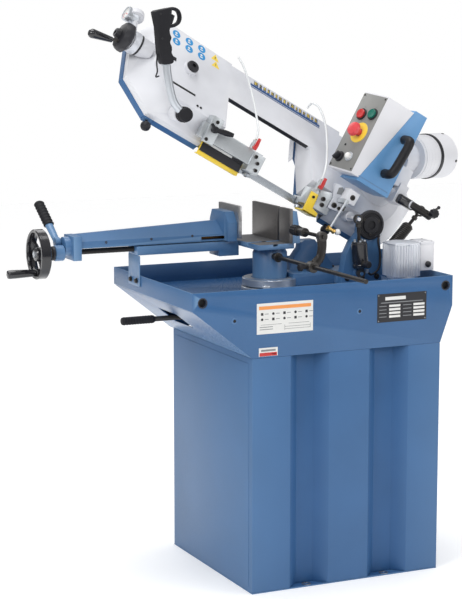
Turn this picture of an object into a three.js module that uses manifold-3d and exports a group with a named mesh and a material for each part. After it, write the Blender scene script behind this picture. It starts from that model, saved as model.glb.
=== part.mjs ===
// Mitre band saw on a sheet-metal stand: a stand with a coolant tray, a vice, a swivelling
// arm, and a bow that carries the blade on two wheels. Millimetres, +Z up, +X to the right
// along the front, +Y to the back. The origin is the middle of the stand's underside.
// The bow is drawn lowered, with its blade level, and its group is then turned to the raised
// rest position. Its wheels lie in a plane that leans back, called the wheel plane here.
import * as THREE from 'three';
import { mergeVertices } from 'three/addons/utils/BufferGeometryUtils.js';
import Module from 'manifold-3d';

const wasm = await Module();
wasm.setup();

// ---- driving dimensions ----
const GAP = 0.3;
const SIDES = 16;

const STAND = { halfX: 280, halfY: 256, top: 628, base: 3, wall: 3 };
const FLUTES = { mouths: [[-170, -56], [63, 182]], slope: 32, depth: 30 };
const TRAY = { left: -448, right: 316, back: 279, rim: 808, leftKnee: 761, rightKnee: 726.5, floor: 757,
  wall: 3 };

const SWIVEL = { x: -85, y: 41, column: 47.5 };
const BED = { left: -152, right: -44, front: -25, back: 206, top: 887, thick: 14 };
const VICE = { y: 128, screwZ: 877, screwR: 8, slideTop: 886, faceX: -160, fixedX: -60 };
const BLADE = { y: 41, z: 897, width: 20, thick: 1.3, twistFrom: -340, twistTo: 60 };

const PIVOT = { x: 172, z: 930, pinR: 15 };
const RAISED = THREE.MathUtils.degToRad(29.7);
const WHEEL = { radius: 130, lean: THREE.MathUtils.degToRad(40), idlerX: -460, driveX: 201, half: 11 };
const PLANE_RISE = 145; // from the blade up to the wheel plane's middle line
const AXLE_S = WHEEL.radius - PLANE_RISE; // the axles' height in the wheel plane
const CASTING = { back: 0, rim: 16, front: 70 };
const COVER = { back: -18, front: -GAP, wall: 3 };
const GEARBOX = { radius: 56, front: 152 };
const PANEL = { front: [45, -60], rear: [23, 35], bottom: 1025, top: 1257, middle: 1141 };
const TENSION = { s: 8, d: 54 };
const WORM = { x: 342, s: 147, d: 150, turn: THREE.MathUtils.degToRad(35), radius: 62 };

// ---- paints ----
const paint = (color, roughness, metalness) =>
  new THREE.MeshStandardMaterial({ color, roughness, metalness });
const BLUE = paint(0x4a74a3, 0.45, 0.1);
const WHITE = paint(0xdcdee0, 0.5, 0.1);
const BLACK = paint(0x1d1e22, 0.5, 0);
const STEEL = paint(0x9a9da0, 0.35, 0.9);
const GREY = paint(0x85888b, 0.5, 0.3);
const YELLOW = paint(0xf2c400, 0.45, 0);
const RED = paint(0xc92a2a, 0.4, 0);
const GREEN = paint(0x1f7a55, 0.4, 0);
const HOSE = paint(0xe6e8ea, 0.4, 0);

// ---- solids ----
function box([x0, x1], [y0, y1], [z0, z1]) {
  const geometry = new THREE.BoxGeometry(x1 - x0, y1 - y0, z1 - z0);
  return geometry.translate((x0 + x1) / 2, (y0 + y1) / 2, (z0 + z1) / 2);
}

// A cylinder or cone along an axis; at = the two other coordinates, in x, y, z order.
function rod(axis, radius, [from, to], at, sides = SIDES, endRadius = radius) {
  const geometry = new THREE.CylinderGeometry(endRadius, radius, to - from, sides);
  geometry.translate(0, (from + to) / 2, 0);
  if (axis === 'x') return geometry.rotateZ(-Math.PI / 2).translate(0, at[0], at[1]);
  if (axis === 'y') return geometry.translate(at[0], 0, at[1]);
  return geometry.rotateX(Math.PI / 2).translate(at[0], at[1], 0);
}

// A cylinder between two points in space.
function bar(radius, from, to, sides = SIDES, endRadius = radius) {
  const start = new THREE.Vector3(...from);
  const along = new THREE.Vector3(...to).sub(start);
  const geometry = new THREE.CylinderGeometry(endRadius, radius, along.length(), sides);
  geometry.translate(0, along.length() / 2, 0);
  const turn = new THREE.Quaternion().setFromUnitVectors(new THREE.Vector3(0, 1, 0), along.normalize());
  return geometry.applyQuaternion(turn).translate(...from);
}

function outline(points) {
  return new THREE.Shape(points.map(([a, b]) => new THREE.Vector2(a, b)));
}

// An outline in two axes, extruded along the third from one coordinate to another.
function prism(plane, points, [from, to]) {
  const geometry = new THREE.ExtrudeGeometry(outline(points), { depth: to - from, bevelEnabled: false });
  if (plane === 'xy') return geometry.translate(0, 0, from);
  if (plane === 'xz') return geometry.rotateX(Math.PI / 2).translate(0, to, 0);
  return geometry.applyMatrix4(new THREE.Matrix4().set(0, 0, 1, from, 1, 0, 0, 0, 0, 1, 0, 0, 0, 0, 0, 1));
}

// A closed body through outlines with equal numbers of points, each at its own height.
function loft(sections) {
  const count = sections[0].points.length;
  const vertices = sections.flatMap(({ at, points }) => points.flatMap(([a, b]) => [a, b, at]));
  const faces = [];
  for (let level = 0; level + 1 < sections.length; level++) {
    for (let i = 0; i < count; i++) {
      const a = level * count + i;
      const b = level * count + (i + 1) % count;
      faces.push(a, b, b + count, a, b + count, a + count);
    }
  }
  const flat = (points) => points.map(([a, b]) => new THREE.Vector2(a, b));
  const top = (sections.length - 1) * count;
  for (const [a, b, c] of THREE.ShapeUtils.triangulateShape(flat(sections[0].points), [])) faces.push(a,
    c, b);
  for (const [a, b, c] of THREE.ShapeUtils.triangulateShape(flat(sections.at(-1).points), [])) {
    faces.push(top + a, top + b, top + c);
  }
  const geometry = new THREE.BufferGeometry();
  geometry.setAttribute('position', new THREE.Float32BufferAttribute(vertices, 3));
  geometry.setIndex(faces);
  return geometry;
}

function tube(points, radius, steps, sides = 8) {
  const curve = new THREE.CatmullRomCurve3(points.map((p) => new THREE.Vector3(...p)));
  const section = new THREE.Shape();
  for (let i = 0; i < sides; i++) {
    const angle = (i / sides) * 2 * Math.PI;
    const point = [radius * Math.cos(angle), radius * Math.sin(angle)];
    if (i === 0) section.moveTo(...point);
    else section.lineTo(...point);
  }
  return new THREE.ExtrudeGeometry(section, { steps, extrudePath: curve, bevelEnabled: false });
}

function solid(geometry) {
  const bare = geometry.clone();
  bare.deleteAttribute('normal');
  bare.deleteAttribute('uv');
  const merged = mergeVertices(bare, 1e-4);
  const mesh = new wasm.Mesh({
    numProp: 3,
    vertProperties: new Float32Array(merged.attributes.position.array),
    triVerts: new Uint32Array(merged.index.array),
  });
  return new wasm.Manifold(mesh);
}

function shape(manifold) {
  const mesh = manifold.getMesh();
  const geometry = new THREE.BufferGeometry();
  geometry.setAttribute('position', new THREE.BufferAttribute(new Float32Array(mesh.vertProperties), 3));
  geometry.setIndex(new THREE.BufferAttribute(new Uint32Array(mesh.triVerts), 1));
  return geometry;
}

const join = (...bodies) => shape(bodies.map(solid).reduce((sum, body) => sum.add(body)));
const cut = (body, ...tools) => shape(tools.map(solid).reduce((rest, tool) => rest.subtract(tool),
  solid(body)));

const saw = new THREE.Group();
const turntable = new THREE.Group();
const bow = new THREE.Group();
saw.add(turntable);
turntable.add(bow);
bow.position.set(PIVOT.x, 0, PIVOT.z);
bow.rotation.y = RAISED;

function add(name, geometry, material, parent = saw) {
  const mesh = new THREE.Mesh(geometry, material);
  mesh.name = name;
  if (parent === bow) mesh.position.set(-PIVOT.x, 0, -PIVOT.z);
  parent.add(mesh);
}

// The wheel plane: x along the bow, s up the leaning plane, d out of its front.
const sin = Math.sin(WHEEL.lean);
const cos = Math.cos(WHEEL.lean);
const wheelY = BLADE.y + PLANE_RISE * sin;
const wheelZ = BLADE.z + PLANE_RISE * cos;
const wheelPlane = new THREE.Matrix4().set(1, 0, 0, 0, 0, sin, -cos, wheelY, 0, cos, sin, wheelZ, 0, 0,
  0, 1);
const leaning = (geometry) => geometry.clone().applyMatrix4(wheelPlane);

// ---- stand ----
function flutedOutline(inset) {
  const x = STAND.halfX - inset;
  const y = STAND.halfY - inset;
  const floor = STAND.halfY - FLUTES.depth - inset;
  const front = FLUTES.mouths.flatMap(([a, b]) => [
    [a - inset, -y], [a + FLUTES.slope - inset, -floor], [b - FLUTES.slope + inset, -floor], [b + inset,
      -y],
  ]);
  const back = front.map(([a, b]) => [a, -b]).reverse();
  return [[-x, -y], ...front, [x, -y], [x, y], ...back, [-x, y]];
}

function makeStand() {
  const footY = STAND.halfY - 14;
  const holes = FLUTES.mouths.flatMap(([a, b]) => [-footY, footY].map((y) => rod('z', 6, [-1, 5],
    [(a + b) / 2, y])));
  const plate = box([-STAND.halfX, STAND.halfX], [-STAND.halfY, STAND.halfY], [0, STAND.base]);
  add('base_plate', cut(plate, ...holes), BLUE);
  const [from, to] = [STAND.base + GAP, STAND.top - GAP];
  const outer = prism('xy', flutedOutline(0), [from, to]);
  const inner = prism('xy', flutedOutline(STAND.wall), [from - 1, to - STAND.wall]);
  add('cabinet', cut(outer, inner), BLUE);
}

function makeTray() {
  const { left, right, back, rim, leftKnee, rightKnee, floor, wall } = TRAY;
  const bottom = STAND.top;
  const side = STAND.halfX;
  const front = -STAND.halfY;
  const section = [[left, rim], [left, leftKnee], [-side, bottom], [side, bottom], [right, rightKnee],
    [right, rim]];
  const body = prism('xz', section, [front, back]);
  const basin = box([left + wall, right - wall], [front + wall, back - wall], [floor, rim + 1]);
  const under = prism('xz', [[left + 14, floor - wall], [-side + 4, bottom - 1], [side - 4, bottom - 1],
    [right - wall - 1, rightKnee], [right - wall - 1, floor - wall]], [front + wall, back - wall]);
  const column = rod('z', 26, [floor - 10, floor + 10], [SWIVEL.x, SWIVEL.y]);
  const slot = box([left, -side - 20], [-22, 102], [676, 716]);
  const liftHoles = [-420, 294].map((x) => rod('y', 10.5, [front - 1, front + 12], [x, 782]));
  add('tray', cut(body, basin, under, column, slot, ...liftHoles), BLUE);
}

function makePedestal() {
  const at = [SWIVEL.x, SWIVEL.y];
  const floor = TRAY.floor + GAP;
  const top = BED.top - BED.thick - GAP;
  const flange = rod('z', 78, [floor, floor + 9], at, 24);
  const shank = rod('z', 25, [672, floor + 1], at);
  add('pedestal', join(flange, rod('z', SWIVEL.column, [floor, top], at, 24), shank), BLUE);
}

// ---- vice ----
function makeVice() {
  const under = BED.top - BED.thick;
  const bed = join(
    box([BED.left, BED.right], [BED.front, BED.back], [under, BED.top]),
    rod('z', 44, [under - 0.2, under + 1], [SWIVEL.x, SWIVEL.y]),
  );
  const bladeGroove = box([BED.left - 1, BED.right + 1], [BLADE.y - 6, BLADE.y + 6], [BED.top - 8,
    BED.top + 1]);
  const boltGroove = box([-107, -93], [BED.front - 1, BED.back + 1], [BED.top - 6, BED.top + 1]);
  add('vice_bed', cut(bed, bladeGroove, boltGroove), BLUE);

  const slideY = [VICE.y - 33, VICE.y + 33];
  const rail = box([TRAY.left - 4, BED.left - GAP], slideY, [862, VICE.slideTop]);
  const channel = box([TRAY.left + 30, BED.left + 1], [VICE.y - 15, VICE.y + 15], [866, VICE.slideTop + 1]);
  const nutBore = rod('x', VICE.screwR + 0.6, [TRAY.left - 5, TRAY.left + 31], [VICE.y, VICE.screwZ]);
  const bracket = box([BED.left - 60, BED.left - GAP], slideY, [846, 863]);
  add('vice_slide', cut(join(rail, bracket), channel, nutBore), BLUE);
  const strut = box([TRAY.left - 3.3, TRAY.left - GAP], [86, 164], [778, 862 - GAP]);
  const boltHoles = [105, 145].map((y) => rod('x', 4, [TRAY.left - 5, TRAY.left + 1], [y, 793], 12));
  add('vice_strut', cut(strut, ...boltHoles), BLUE);

  // The two halves of the jaw are one casting: a bridge under the blade joins them inside the groove.
  const footZ = [BED.top + GAP, BED.top + 7];
  const bridgeZ = [BED.top - 7.6, BED.top - 5.2];
  const foot = join(
    box([-50, -28], [-29, BLADE.y - 4], footZ),
    box([-50, -28], [BLADE.y + 4, 204], footZ),
    box([-50, -28], [BLADE.y - 5.7, BLADE.y - 4], [bridgeZ[0], footZ[1]]),
    box([-50, -28], [BLADE.y + 4, BLADE.y + 5.7], [bridgeZ[0], footZ[1]]),
    box([-50, -28], [BLADE.y - 5.7, BLADE.y + 5.7], bridgeZ),
  );
  const cheek = [[-50, BED.top + 1], [-28, BED.top + 1], [-30, 925], [-38, 974], [-50, 974]];
  add('fixed_jaw', join(foot, prism('xz', cheek, [-29, 33]), prism('xz', cheek, [49, 204])), BLUE);
  const plateX = [VICE.fixedX, -50 - GAP];
  add('fixed_jaw_plate_front', box(plateX, [-29, 35], [BED.top + GAP, 981]), STEEL);
  add('fixed_jaw_plate_rear', box(plateX, [47, 204], [BED.top + GAP, 981]), STEEL);

  makeMovingJaw();
  makeViceScrew();
}

function makeMovingJaw() {
  const bottom = 889;
  const ridge = (z) => [[100, bottom], [166, bottom], [166, 913], [158, z], [146, z], [100, 907]];
  const alongX = new THREE.Matrix4().set(0, 0, 1, 0, 1, 0, 0, 0, 0, 1, 0, 0, 0, 0, 0, 1);
  const arm = loft([{ at: -614, points: ridge(922) }, { at: -192,
    points: ridge(940) }]).applyMatrix4(alongX);
  const endPlate = box([-634, -612], [92, 166], [858, 922]);
  const hub = rod('x', 26, [-650, -634], [VICE.y + 6, 893]);
  const jaw = prism('yz', [[70, bottom], [190, bottom], [190, 940], [176, 968], [92, 968], [70, 940]],
    [-197, -170 - GAP]);
  const screwBore = rod('x', VICE.screwR + 0.6, [-660, -600], [VICE.y, VICE.screwZ]);
  const window = box([-263, -181], [95, 122], [bottom + 4, bottom + 13]);
  const leverBore = rod('x', 9.5, [-651, -620], [150, 904]);
  add('vice_arm', cut(join(arm, endPlate, hub, jaw), screwBore, window, leverBore), BLUE);
  add('moving_jaw_plate', box([-170, VICE.faceX], [60, 190], [897, 985]), STEEL);
  const stub = rod('x', 9, [-656, -622], [150, 904]);
  const lever = bar(6, [-656, 150, 904], [-666, 212, 956], 14);
  const grip = bar(10, [-664, 200, 946], [-672, 265, 1002], 16, 12);
  add('clamp_lever', join(stub, rod('x', 12, [-668, -651], [150, 904]), lever, grip), BLACK);
}

function makeViceScrew() {
  const at = [VICE.y, VICE.screwZ];
  add('vice_screw', rod('x', VICE.screwR, [-722, -300], at), STEEL);
  const hubX = [-730, -704];
  const rimSection = new THREE.TorusGeometry(58, 8, 8, 28).rotateY(Math.PI / 2).translate(-717, ...at);
  const arms = [0, 1, 2].map((i) => {
    const angle = Math.PI / 2 + (i * 2 * Math.PI) / 3 + Math.PI;
    return bar(6.5, [-717, ...at], [-717, at[0] + 56 * Math.cos(angle), at[1] + 56 * Math.sin(angle)], 10);
  });
  const boss = rod('x', 10, [-728, -708], [VICE.y, VICE.screwZ - 49]);
  const wheel = join(rimSection, rod('x', 19, hubX, at), boss, ...arms);
  add('vice_handwheel', cut(wheel, rod('x', VICE.screwR + GAP, [-731, -703], at)), BLACK);
  const profile = [[0, 0], [7, 0], [9, 10], [11.5, 45], [11, 68], [8, 76], [0, 78]].map(([r,
    x]) => new THREE.Vector2(r, x));
  const grip = new THREE.LatheGeometry(profile, 14).rotateZ(Math.PI / 2);
  add('crank_grip', grip.translate(-728 - GAP, VICE.y, VICE.screwZ - 49), BLACK);
}

// ---- length stop, lock lever, coolant pump ----
function makeSmallStandParts() {
  const rodZ = 852;
  add('stop_rod', join(rod('y', 6, [-518, -8], [-95, rodZ]), rod('y', 9, [-22, -8], [-95, rodZ])), STEEL);
  const knuckle = rod('y', 15, [-240, -218], [-95, rodZ]);
  const curve = [[-108, 852], [-84, 845], [-62, 872], [-54, 905], [-56, 944], [-80, 944], [-78, 905],
    [-84, 880]];
  const arm = join(knuckle, prism('xz', curve, [-236, -222]));
  const bore = rod('y', 6 + GAP, [-250, -210], [-95, rodZ]);
  const threaded = rod('y', 5.5, [-250, -210], [-68, 930], 14);
  add('stop_arm', cut(arm, bore, threaded), BLACK);
  add('stop_knob', join(rod('y', 5, [-246, -120], [-68, 930], 12), rod('y', 12, [-136, -62], [-68,
    930])), BLACK);

  const hub = rod('z', 38, [684, 710], [SWIVEL.x, SWIVEL.y]);
  const handle = join(hub, bar(7, [SWIVEL.x - 30, SWIVEL.y, 697], [-450, 41, 697], 12), bar(11, [-428,
    41, 697], [-522, 41, 697], 16));
  add('swivel_lock_lever', cut(handle, rod('z', 26, [680, 715], [SWIVEL.x, SWIVEL.y])), BLACK);

  const fins = [];
  for (let i = 0; i < 6; i++) fins.push(box([182 + i * 14, 188 + i * 14], [-188, -98], [800, 888]));
  const stem = rod('z', 34, [TRAY.floor + GAP, 800], [222, -143]);
  const motor = join(stem, box([180, 264], [-182, -104], [796, 892]), ...fins);
  add('coolant_pump', join(motor, box([263, 306], [-176, -112], [812, 892])), GREY);
}

// ---- swivelling arm and pivot ----
function makeTurntable() {
  const at = [SWIVEL.x, SWIVEL.y];
  const hub = rod('z', 74, [768, 790], at, 24);
  const beam = box([-40, 205], [-14, 78], [768, 802]);
  const fin = prism('xz', [[-22, 800], [-18, 824], [12, 862], [14, 878], [26, 884], [56, 884],
    [72, 866], [112, 812], [112, 800]], [46, 78]);
  const arm = join(hub, beam, fin);
  add('swivel_arm', cut(arm, rod('z', SWIVEL.column + 0.9, [760, 830], at, 24)), BLUE, turntable);

  const headR = 30;
  const head = [];
  for (let i = 0; i <= 8; i++) {
    const angle = Math.PI * (1 - i / 8);
    head.push([PIVOT.x + headR * Math.cos(angle), PIVOT.z + headR * Math.sin(angle)]);
  }
  const post = prism('xz', [[85, 770], [100, 850], [118, 885], [140, 908], ...head, [208, 860], [212,
    770]], [-54, -26]);
  const sole = box([85, 212], [-30, -14 - GAP], [770, 800]);
  const pinBore = rod('y', PIVOT.pinR + GAP, [-60, -20], [PIVOT.x, PIVOT.z]);
  const feedPin = rod('y', 5, [-84, -50], [134, 800]);
  const feedBoss = rod('y', 12, [-64, -50], [134, 800]);
  const [springX, springY, springZ] = SPRING.foot;
  const springLug = join(
    rod('y', 12, [-54, springY - 5 - GAP], [springX, springZ]),
    box([200, springX], [-54, springY - 5 - GAP], [springZ - 12, springZ + 12]),
    rod('y', 6, [-50, springY + 6], [springX, springZ]),
  );
  add('pivot_bracket', join(cut(join(post, sole), pinBore), feedBoss, feedPin, springLug), BLUE, turntable);
  const cap = rod('y', 37, [-66, -54 - GAP], [PIVOT.x, PIVOT.z], 24);
  add('pivot_pin', join(cap, rod('y', PIVOT.pinR, [-60, 27], [PIVOT.x, PIVOT.z])), BLACK, turntable);
}

// The down-feed cylinder stands on the bracket; its rod ends in an eye round the bow's lug.
const FEED = { foot: [134, -76, 800], eye: [124, -76, 950], lug: [120.4, 923.6] };
const SPRING = { foot: [234, -40, 848], eye: [340, -40, 958], lug: [304, 1037] };

function linkGroup({ foot, eye }, parent) {
  const group = new THREE.Group();
  group.position.set(...foot);
  group.rotation.y = Math.atan2(eye[0] - foot[0], eye[2] - foot[2]);
  parent.add(group);
  return { group, length: Math.hypot(eye[0] - foot[0], eye[2] - foot[2]) };
}

function makeFeedCylinder() {
  const { group, length } = linkGroup(FEED, turntable);
  const foot = cut(rod('y', 11, [-6, 6], [0, 0]), rod('y', 5 + GAP, [-7, 7], [0, 0]));
  const body = join(cut(box([-9, 9], [-6, 6], [4, 18]), rod('y', 5 + GAP, [-7, 7], [0, 0])), rod('z', 22,
    [16, 90], [0, 0]));
  const valve = rod('y', 8, [-34, -15], [0, 30]);
  const bore = rod('z', 5.5, [22, 95], [0, 0], 12);
  add('feed_cylinder', cut(join(foot, body, valve), bore), BLACK, group);
  const eye = cut(rod('y', 13, [-5, 5], [0, length]), rod('y', 9, [-6, 6], [0, length]));
  add('feed_rod', join(eye, rod('z', 5, [52, length - 10], [0, 0], 12)), STEEL, group);
  add('feed_valve_knob', rod('y', 10, [-50, -34 - GAP], [0, 30]), BLACK, group);
}

function makeReturnSpring() {
  const { group, length } = linkGroup(SPRING, turntable);
  const foot = cut(rod('y', 11, [-5, 5], [0, 0]), rod('y', 6.5, [-6, 6], [0, 0]));
  const sleeve = join(foot, rod('z', 4.5, [8, 16], [0, 0], 12), rod('z', 14, [14, 98], [0, 0]));
  add('spring_sleeve', cut(sleeve, rod('z', 5.5, [18, 99], [0, 0], 12)), BLACK, group);
  const eye = cut(rod('y', 15.5, [-4, 4], [0, length]), rod('y', 11, [-5, 5], [0, length]));
  add('spring_rod', join(eye, rod('z', 5, [46, length - 12], [0, 0], 12)), STEEL, group);
}

// ---- bow ----
function bowCasting() {
  const { back, rim, front } = CASTING;
  const head = (foot, face) => loft([{ at: back, points: foot }, { at: rim, points: foot }, { at: front,
    points: face }]);
  const left = head(
    [[-527, -156], [-352, -156], [-352, -130], [-315, -116], [-315, 150], [-560, 148], [-609, 75], [-606,
      -76]],
    [[-505, -110], [-366, -116], [-352, -115], [-315, -114], [-315, 128], [-540, 138], [-556, 62], [-556,
      -45]],
  );
  const beamSection = [[0, front], [0, front - 14], [80, front - 14], [100, rim], [100, back], [150,
    back], [150, rim], [122, front]];
  const beam = prism('yz', beamSection, [-330, 70]);
  const right = head(
    [[-14, -118], [72, -120], [72, -156], [266, -156], [324, -79], [388, 63], [342, 150], [-28, 150],
      [-28, 0]],
    [[-14, -114], [72, -116], [84, -140], [236, -124], [276, -66], [326, 46], [292, 108], [-28, 110],
      [-28, 0]],
  );
  const parts = [left, beam, right].map(leaning);
  const barrel = rod('y', 24, [-22, 29], [PIVOT.x, PIVOT.z]);
  const handleBoss = rod('y', 18, [-28, 28], [-460, 931]);
  const lug = join(rod('y', 5, [-84, 20], FEED.lug, 12), rod('y', 14, [-18, 26], [FEED.lug[0] + 6,
    FEED.lug[1] + 4]));
  const pocket = box([-521, -399], [AXLE_S - 40, AXLE_S + 40], [back - 1, 64]);
  const screwHole = rod('x', 9, [-640, -510], [TENSION.s, TENSION.d]);
  const shaftBore = rod('z', 18.5, [back - 1, front + 1], [WHEEL.driveX, AXLE_S]);
  const roomAt = [WHEEL.idlerX, WHEEL.idlerX + 7, WHEEL.driveX];
  const wheelRoom = roomAt.map((x) => rod('z', WHEEL.radius + 4.6, [back - 1, rim - 1], [x, AXLE_S], 36));
  const topRun = box([WHEEL.idlerX, WHEEL.driveX], [106, 126], [back - 1, rim - 1]);
  const lowerRun = [[WHEEL.idlerX, -340], [60, WHEEL.driveX]].map((x) => box(x, [-154.5, -136],
    [back - 1, rim - 2]));
  const tools = [pocket, screwHole, shaftBore, ...wheelRoom, topRun, ...lowerRun].map(leaning);
  const pinBore = rod('y', PIVOT.pinR + 0.5, [-30, 36.5], [PIVOT.x, PIVOT.z]);
  return cut(join(...parts, barrel, handleBoss, lug), ...tools, pinBore);
}

// The blade runs round both wheels. Between its guides it is twisted upright.
function bladeBand() {
  const arcSteps = 16;
  const radius = (WHEEL.radius + GAP + BLADE.thick / 2) / Math.cos(Math.PI / (2 * arcSteps));
  const stations = [];
  const span = WHEEL.driveX - WHEEL.idlerX;
  const station = (x, s, angle, twist) => stations.push({ x, s, angle, twist });
  for (let i = 0; i <= arcSteps; i++) {
    const angle = -Math.PI / 2 - (i / arcSteps) * Math.PI;
    station(WHEEL.idlerX + radius * Math.cos(angle), AXLE_S + radius * Math.sin(angle), angle, 0);
  }
  for (let i = 1; i < 4; i++) station(WHEEL.idlerX + (span * i) / 4, AXLE_S + radius, Math.PI / 2, 0);
  for (let i = 0; i <= arcSteps; i++) {
    const angle = Math.PI / 2 - (i / arcSteps) * Math.PI;
    station(WHEEL.driveX + radius * Math.cos(angle), AXLE_S + radius * Math.sin(angle), angle, 0);
  }
  const upright = Math.PI / 2 - WHEEL.lean;
  const third = (a, b) => [1, 2].map((k) => a + ((b - a) * k) / 3);
  const lowerRun = [...third(WHEEL.driveX, BLADE.twistTo), BLADE.twistTo, BLADE.twistFrom,
    ...third(BLADE.twistFrom, WHEEL.idlerX)];
  for (const x of lowerRun) {
    let share = 1;
    if (x > BLADE.twistTo) share = (WHEEL.driveX - x) / (WHEEL.driveX - BLADE.twistTo);
    if (x < BLADE.twistFrom) share = (x - WHEEL.idlerX) / (BLADE.twistFrom - WHEEL.idlerX);
    station(x, AXLE_S - radius, -Math.PI / 2, upright * share);
  }
  const vertices = [];
  for (const { x, s, angle, twist } of stations) {
    const out = [Math.cos(angle) * Math.cos(twist), Math.sin(angle) * Math.cos(twist), -Math.sin(twist)];
    const wide = [0, Math.sin(twist) * -Math.sin(angle), Math.cos(twist)];
    for (const [a, b] of [[-1, -1], [1, -1], [1, 1], [-1, 1]]) {
      const [h, w] = [(a * BLADE.thick) / 2, (b * BLADE.width) / 2];
      vertices.push(x + out[0] * h + wide[0] * w, s + out[1] * h + wide[1] * w, out[2] * h + wide[2] * w);
    }
  }
  const faces = [];
  const total = stations.length;
  for (let i = 0; i < total; i++) {
    for (let corner = 0; corner < 4; corner++) {
      const a = i * 4 + corner;
      const b = i * 4 + ((corner + 1) % 4);
      const c = ((i + 1) % total) * 4 + ((corner + 1) % 4);
      const d = ((i + 1) % total) * 4 + corner;
      faces.push(a, b, c, a, c, d);
    }
  }
  const geometry = new THREE.BufferGeometry();
  geometry.setAttribute('position', new THREE.Float32BufferAttribute(vertices, 3));
  geometry.setIndex(faces);
  return geometry;
}

function makeBowFrame() {
  add('bow_frame', bowCasting(), WHITE, bow);
  add('blade', leaning(join(bladeBand())), STEEL, bow);

  const coverOutline = (inset) => [[-352 - inset, -156 + inset], [-352 - inset, -128 + inset],
    [-315 - inset, -113 + inset],
    [-315 - inset, 98 + inset], [-32 + inset, 98 + inset], [-32 + inset, 40], [-12 + inset, 0],
    [-12 + inset, -116 + inset], [74 + inset, -116 + inset],
    [74 + inset, -156 + inset], [267 - inset / 2, -156 + inset], [325 - inset, -79], [390 - inset, 63],
    [343 - inset / 2, 152 - inset], [-561 + inset / 2, 152 - inset], [-611 + inset, 76], [-608 + inset,
      -76],
    [-528 + inset / 2, -156 + inset]];
  const shell = prism('xy', coverOutline(0), [COVER.back, COVER.front]);
  const hollow = prism('xy', coverOutline(COVER.wall), [COVER.back + COVER.wall, COVER.front + 1]);
  const slots = [box([-374, -338], [-155.2, -136], [-13, 1]), box([56, 104], [-155.2, -136], [-13, 1])];
  const knobBoss = box([-526, -500], [-160, -154], [COVER.back, COVER.front]);
  add('bow_cover', leaning(join(cut(shell, hollow, ...slots), knobBoss)), BLUE, bow);

  const wheel = (x) => join(rod('z', WHEEL.radius, [-WHEEL.half, WHEEL.half], [x, AXLE_S], 36));
  const web = (x) => [
    cut(rod('z', 114, [4, WHEEL.half + 1], [x, AXLE_S], 24), rod('z', 32, [3, WHEEL.half + 2], [x,
      AXLE_S])),
    cut(rod('z', 114, [-WHEEL.half - 1, -4], [x, AXLE_S], 24), rod('z', 32, [-WHEEL.half - 2, -3], [x,
      AXLE_S])),
  ];
  const drive = cut(wheel(WHEEL.driveX), ...web(WHEEL.driveX));
  add('drive_wheel', leaning(join(drive, rod('z', 18, [0, CASTING.front], [WHEEL.driveX, AXLE_S]))),
    GREY, bow);
  const idler = cut(wheel(WHEEL.idlerX), ...web(WHEEL.idlerX), rod('z', 15.4, [-20, 20], [WHEEL.idlerX,
    AXLE_S]));
  add('idler_wheel', leaning(idler), GREY, bow);
  const block = box([WHEEL.idlerX - 32, WHEEL.idlerX + 32], [AXLE_S - 39, AXLE_S + 39], [16, 62]);
  add('idler_block', leaning(join(block, rod('z', 15, [-12, 20], [WHEEL.idlerX, AXLE_S]))), STEEL, bow);
}

function makeBladeTension() {
  const at = [TENSION.s, TENSION.d];
  const sleeve = join(rod('x', 30, [-632, -612], at), rod('x', 26, [-640, -630], at), rod('x', 27, [-625,
    -570], at));
  const flank = prism('xz', [[-621.5, 12], [-558, 71.5], [-480, 71.5], [-480, 12]], [-60, 60]);
  const bore = rod('x', 9, [-645, -560], at, 16);
  const gauge = rod('y', 23, [70, 84], [-640, 78]);
  const gaugeStem = bar(8, [-628, 24, 58], [-640, 74, 78], 12);
  add('tension_housing', leaning(cut(join(sleeve, gaugeStem, gauge), flank, bore)), WHITE, bow);
  const wheel = rod('x', 31, [-676, -641], at, 9);
  const spindle = rod('x', 8.5, [-678, WHEEL.idlerX - 32 - GAP], at, 16);
  const handle = bar(5, [-668, -22, 50], [-700, -28, 48], 12);
  const grip = bar(8, [-694, -27, 48.4], [-748, -37, 46], 14, 10);
  add('tension_handwheel', leaning(join(wheel, spindle, handle, grip)), BLACK, bow);
}

function makeGuides() {
  const armZ = [908, 950];
  const arm = box([-385, -190], [-14, 5], armZ);
  const block = join(arm, box([-220, -182], [-20, 24], [893, 946]), box([-218, -184], [20, 58], [893,
    914]));
  const slit = box([-230, -170], [BLADE.y - 3, BLADE.y + 3], [880, 909]);
  const valve = join(rod('z', 8, [944, 966], [-226, -6]), rod('z', 6, [960, 976], [-226, -6]));
  const guide = cut(join(block, valve), slit);
  add('guide_arm', guide, GREY, bow);
  add('left_blade_guard', join(box([-358, -224], [5 + GAP, 9], [868, 905]), box([-358, -224], [5 + GAP,
    20], [868, 871])), YELLOW, bow);
  const clampPlate = join(box([-374, -340], [-26, -14.3], [900, 974]), box([-374, -340], [-26, 6], [951,
    974]));
  add('guide_clamp_block', clampPlate, GREY, bow);
  const lever = join(rod('y', 9, [-40, -26 - GAP], [-357, 940]), bar(5.5, [-357, -35, 940], [-312, -46,
    950], 12));
  add('guide_clamp_lever', lever, BLACK, bow);

  const right = join(box([-18, 12], [20, 60], [892, 913]), box([-18, 62], [-14, 22], [896, 944]));
  const cleared = cut(right, box([-50, 70], [BLADE.y - 3, BLADE.y + 3], [880, 908]));
  const rightValve = join(rod('z', 8, [942, 964], [4, -4]), rod('z', 6, [960, 974], [4, -4]));
  add('right_guide_block', join(cleared, rightValve), GREY, bow);
  const guard = join(box([-14, 32], [-20, -14.3], [876, 934]), box([-14, 32], [-20, 30], [876, 880]));
  add('right_blade_guard', guard, YELLOW, bow);

  for (const [name, x, y] of [['coolant_tap_left', -226, -6], ['coolant_tap_right', 4, -4]]) {
    const lever = join(rod('y', 5, [y - 22, y - 8.4], [x, 956], 14), box([x - 4, x + 4], [y - 22,
      y - 17], [950, 982]));
    add(name, lever, RED, bow);
  }
}

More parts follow.
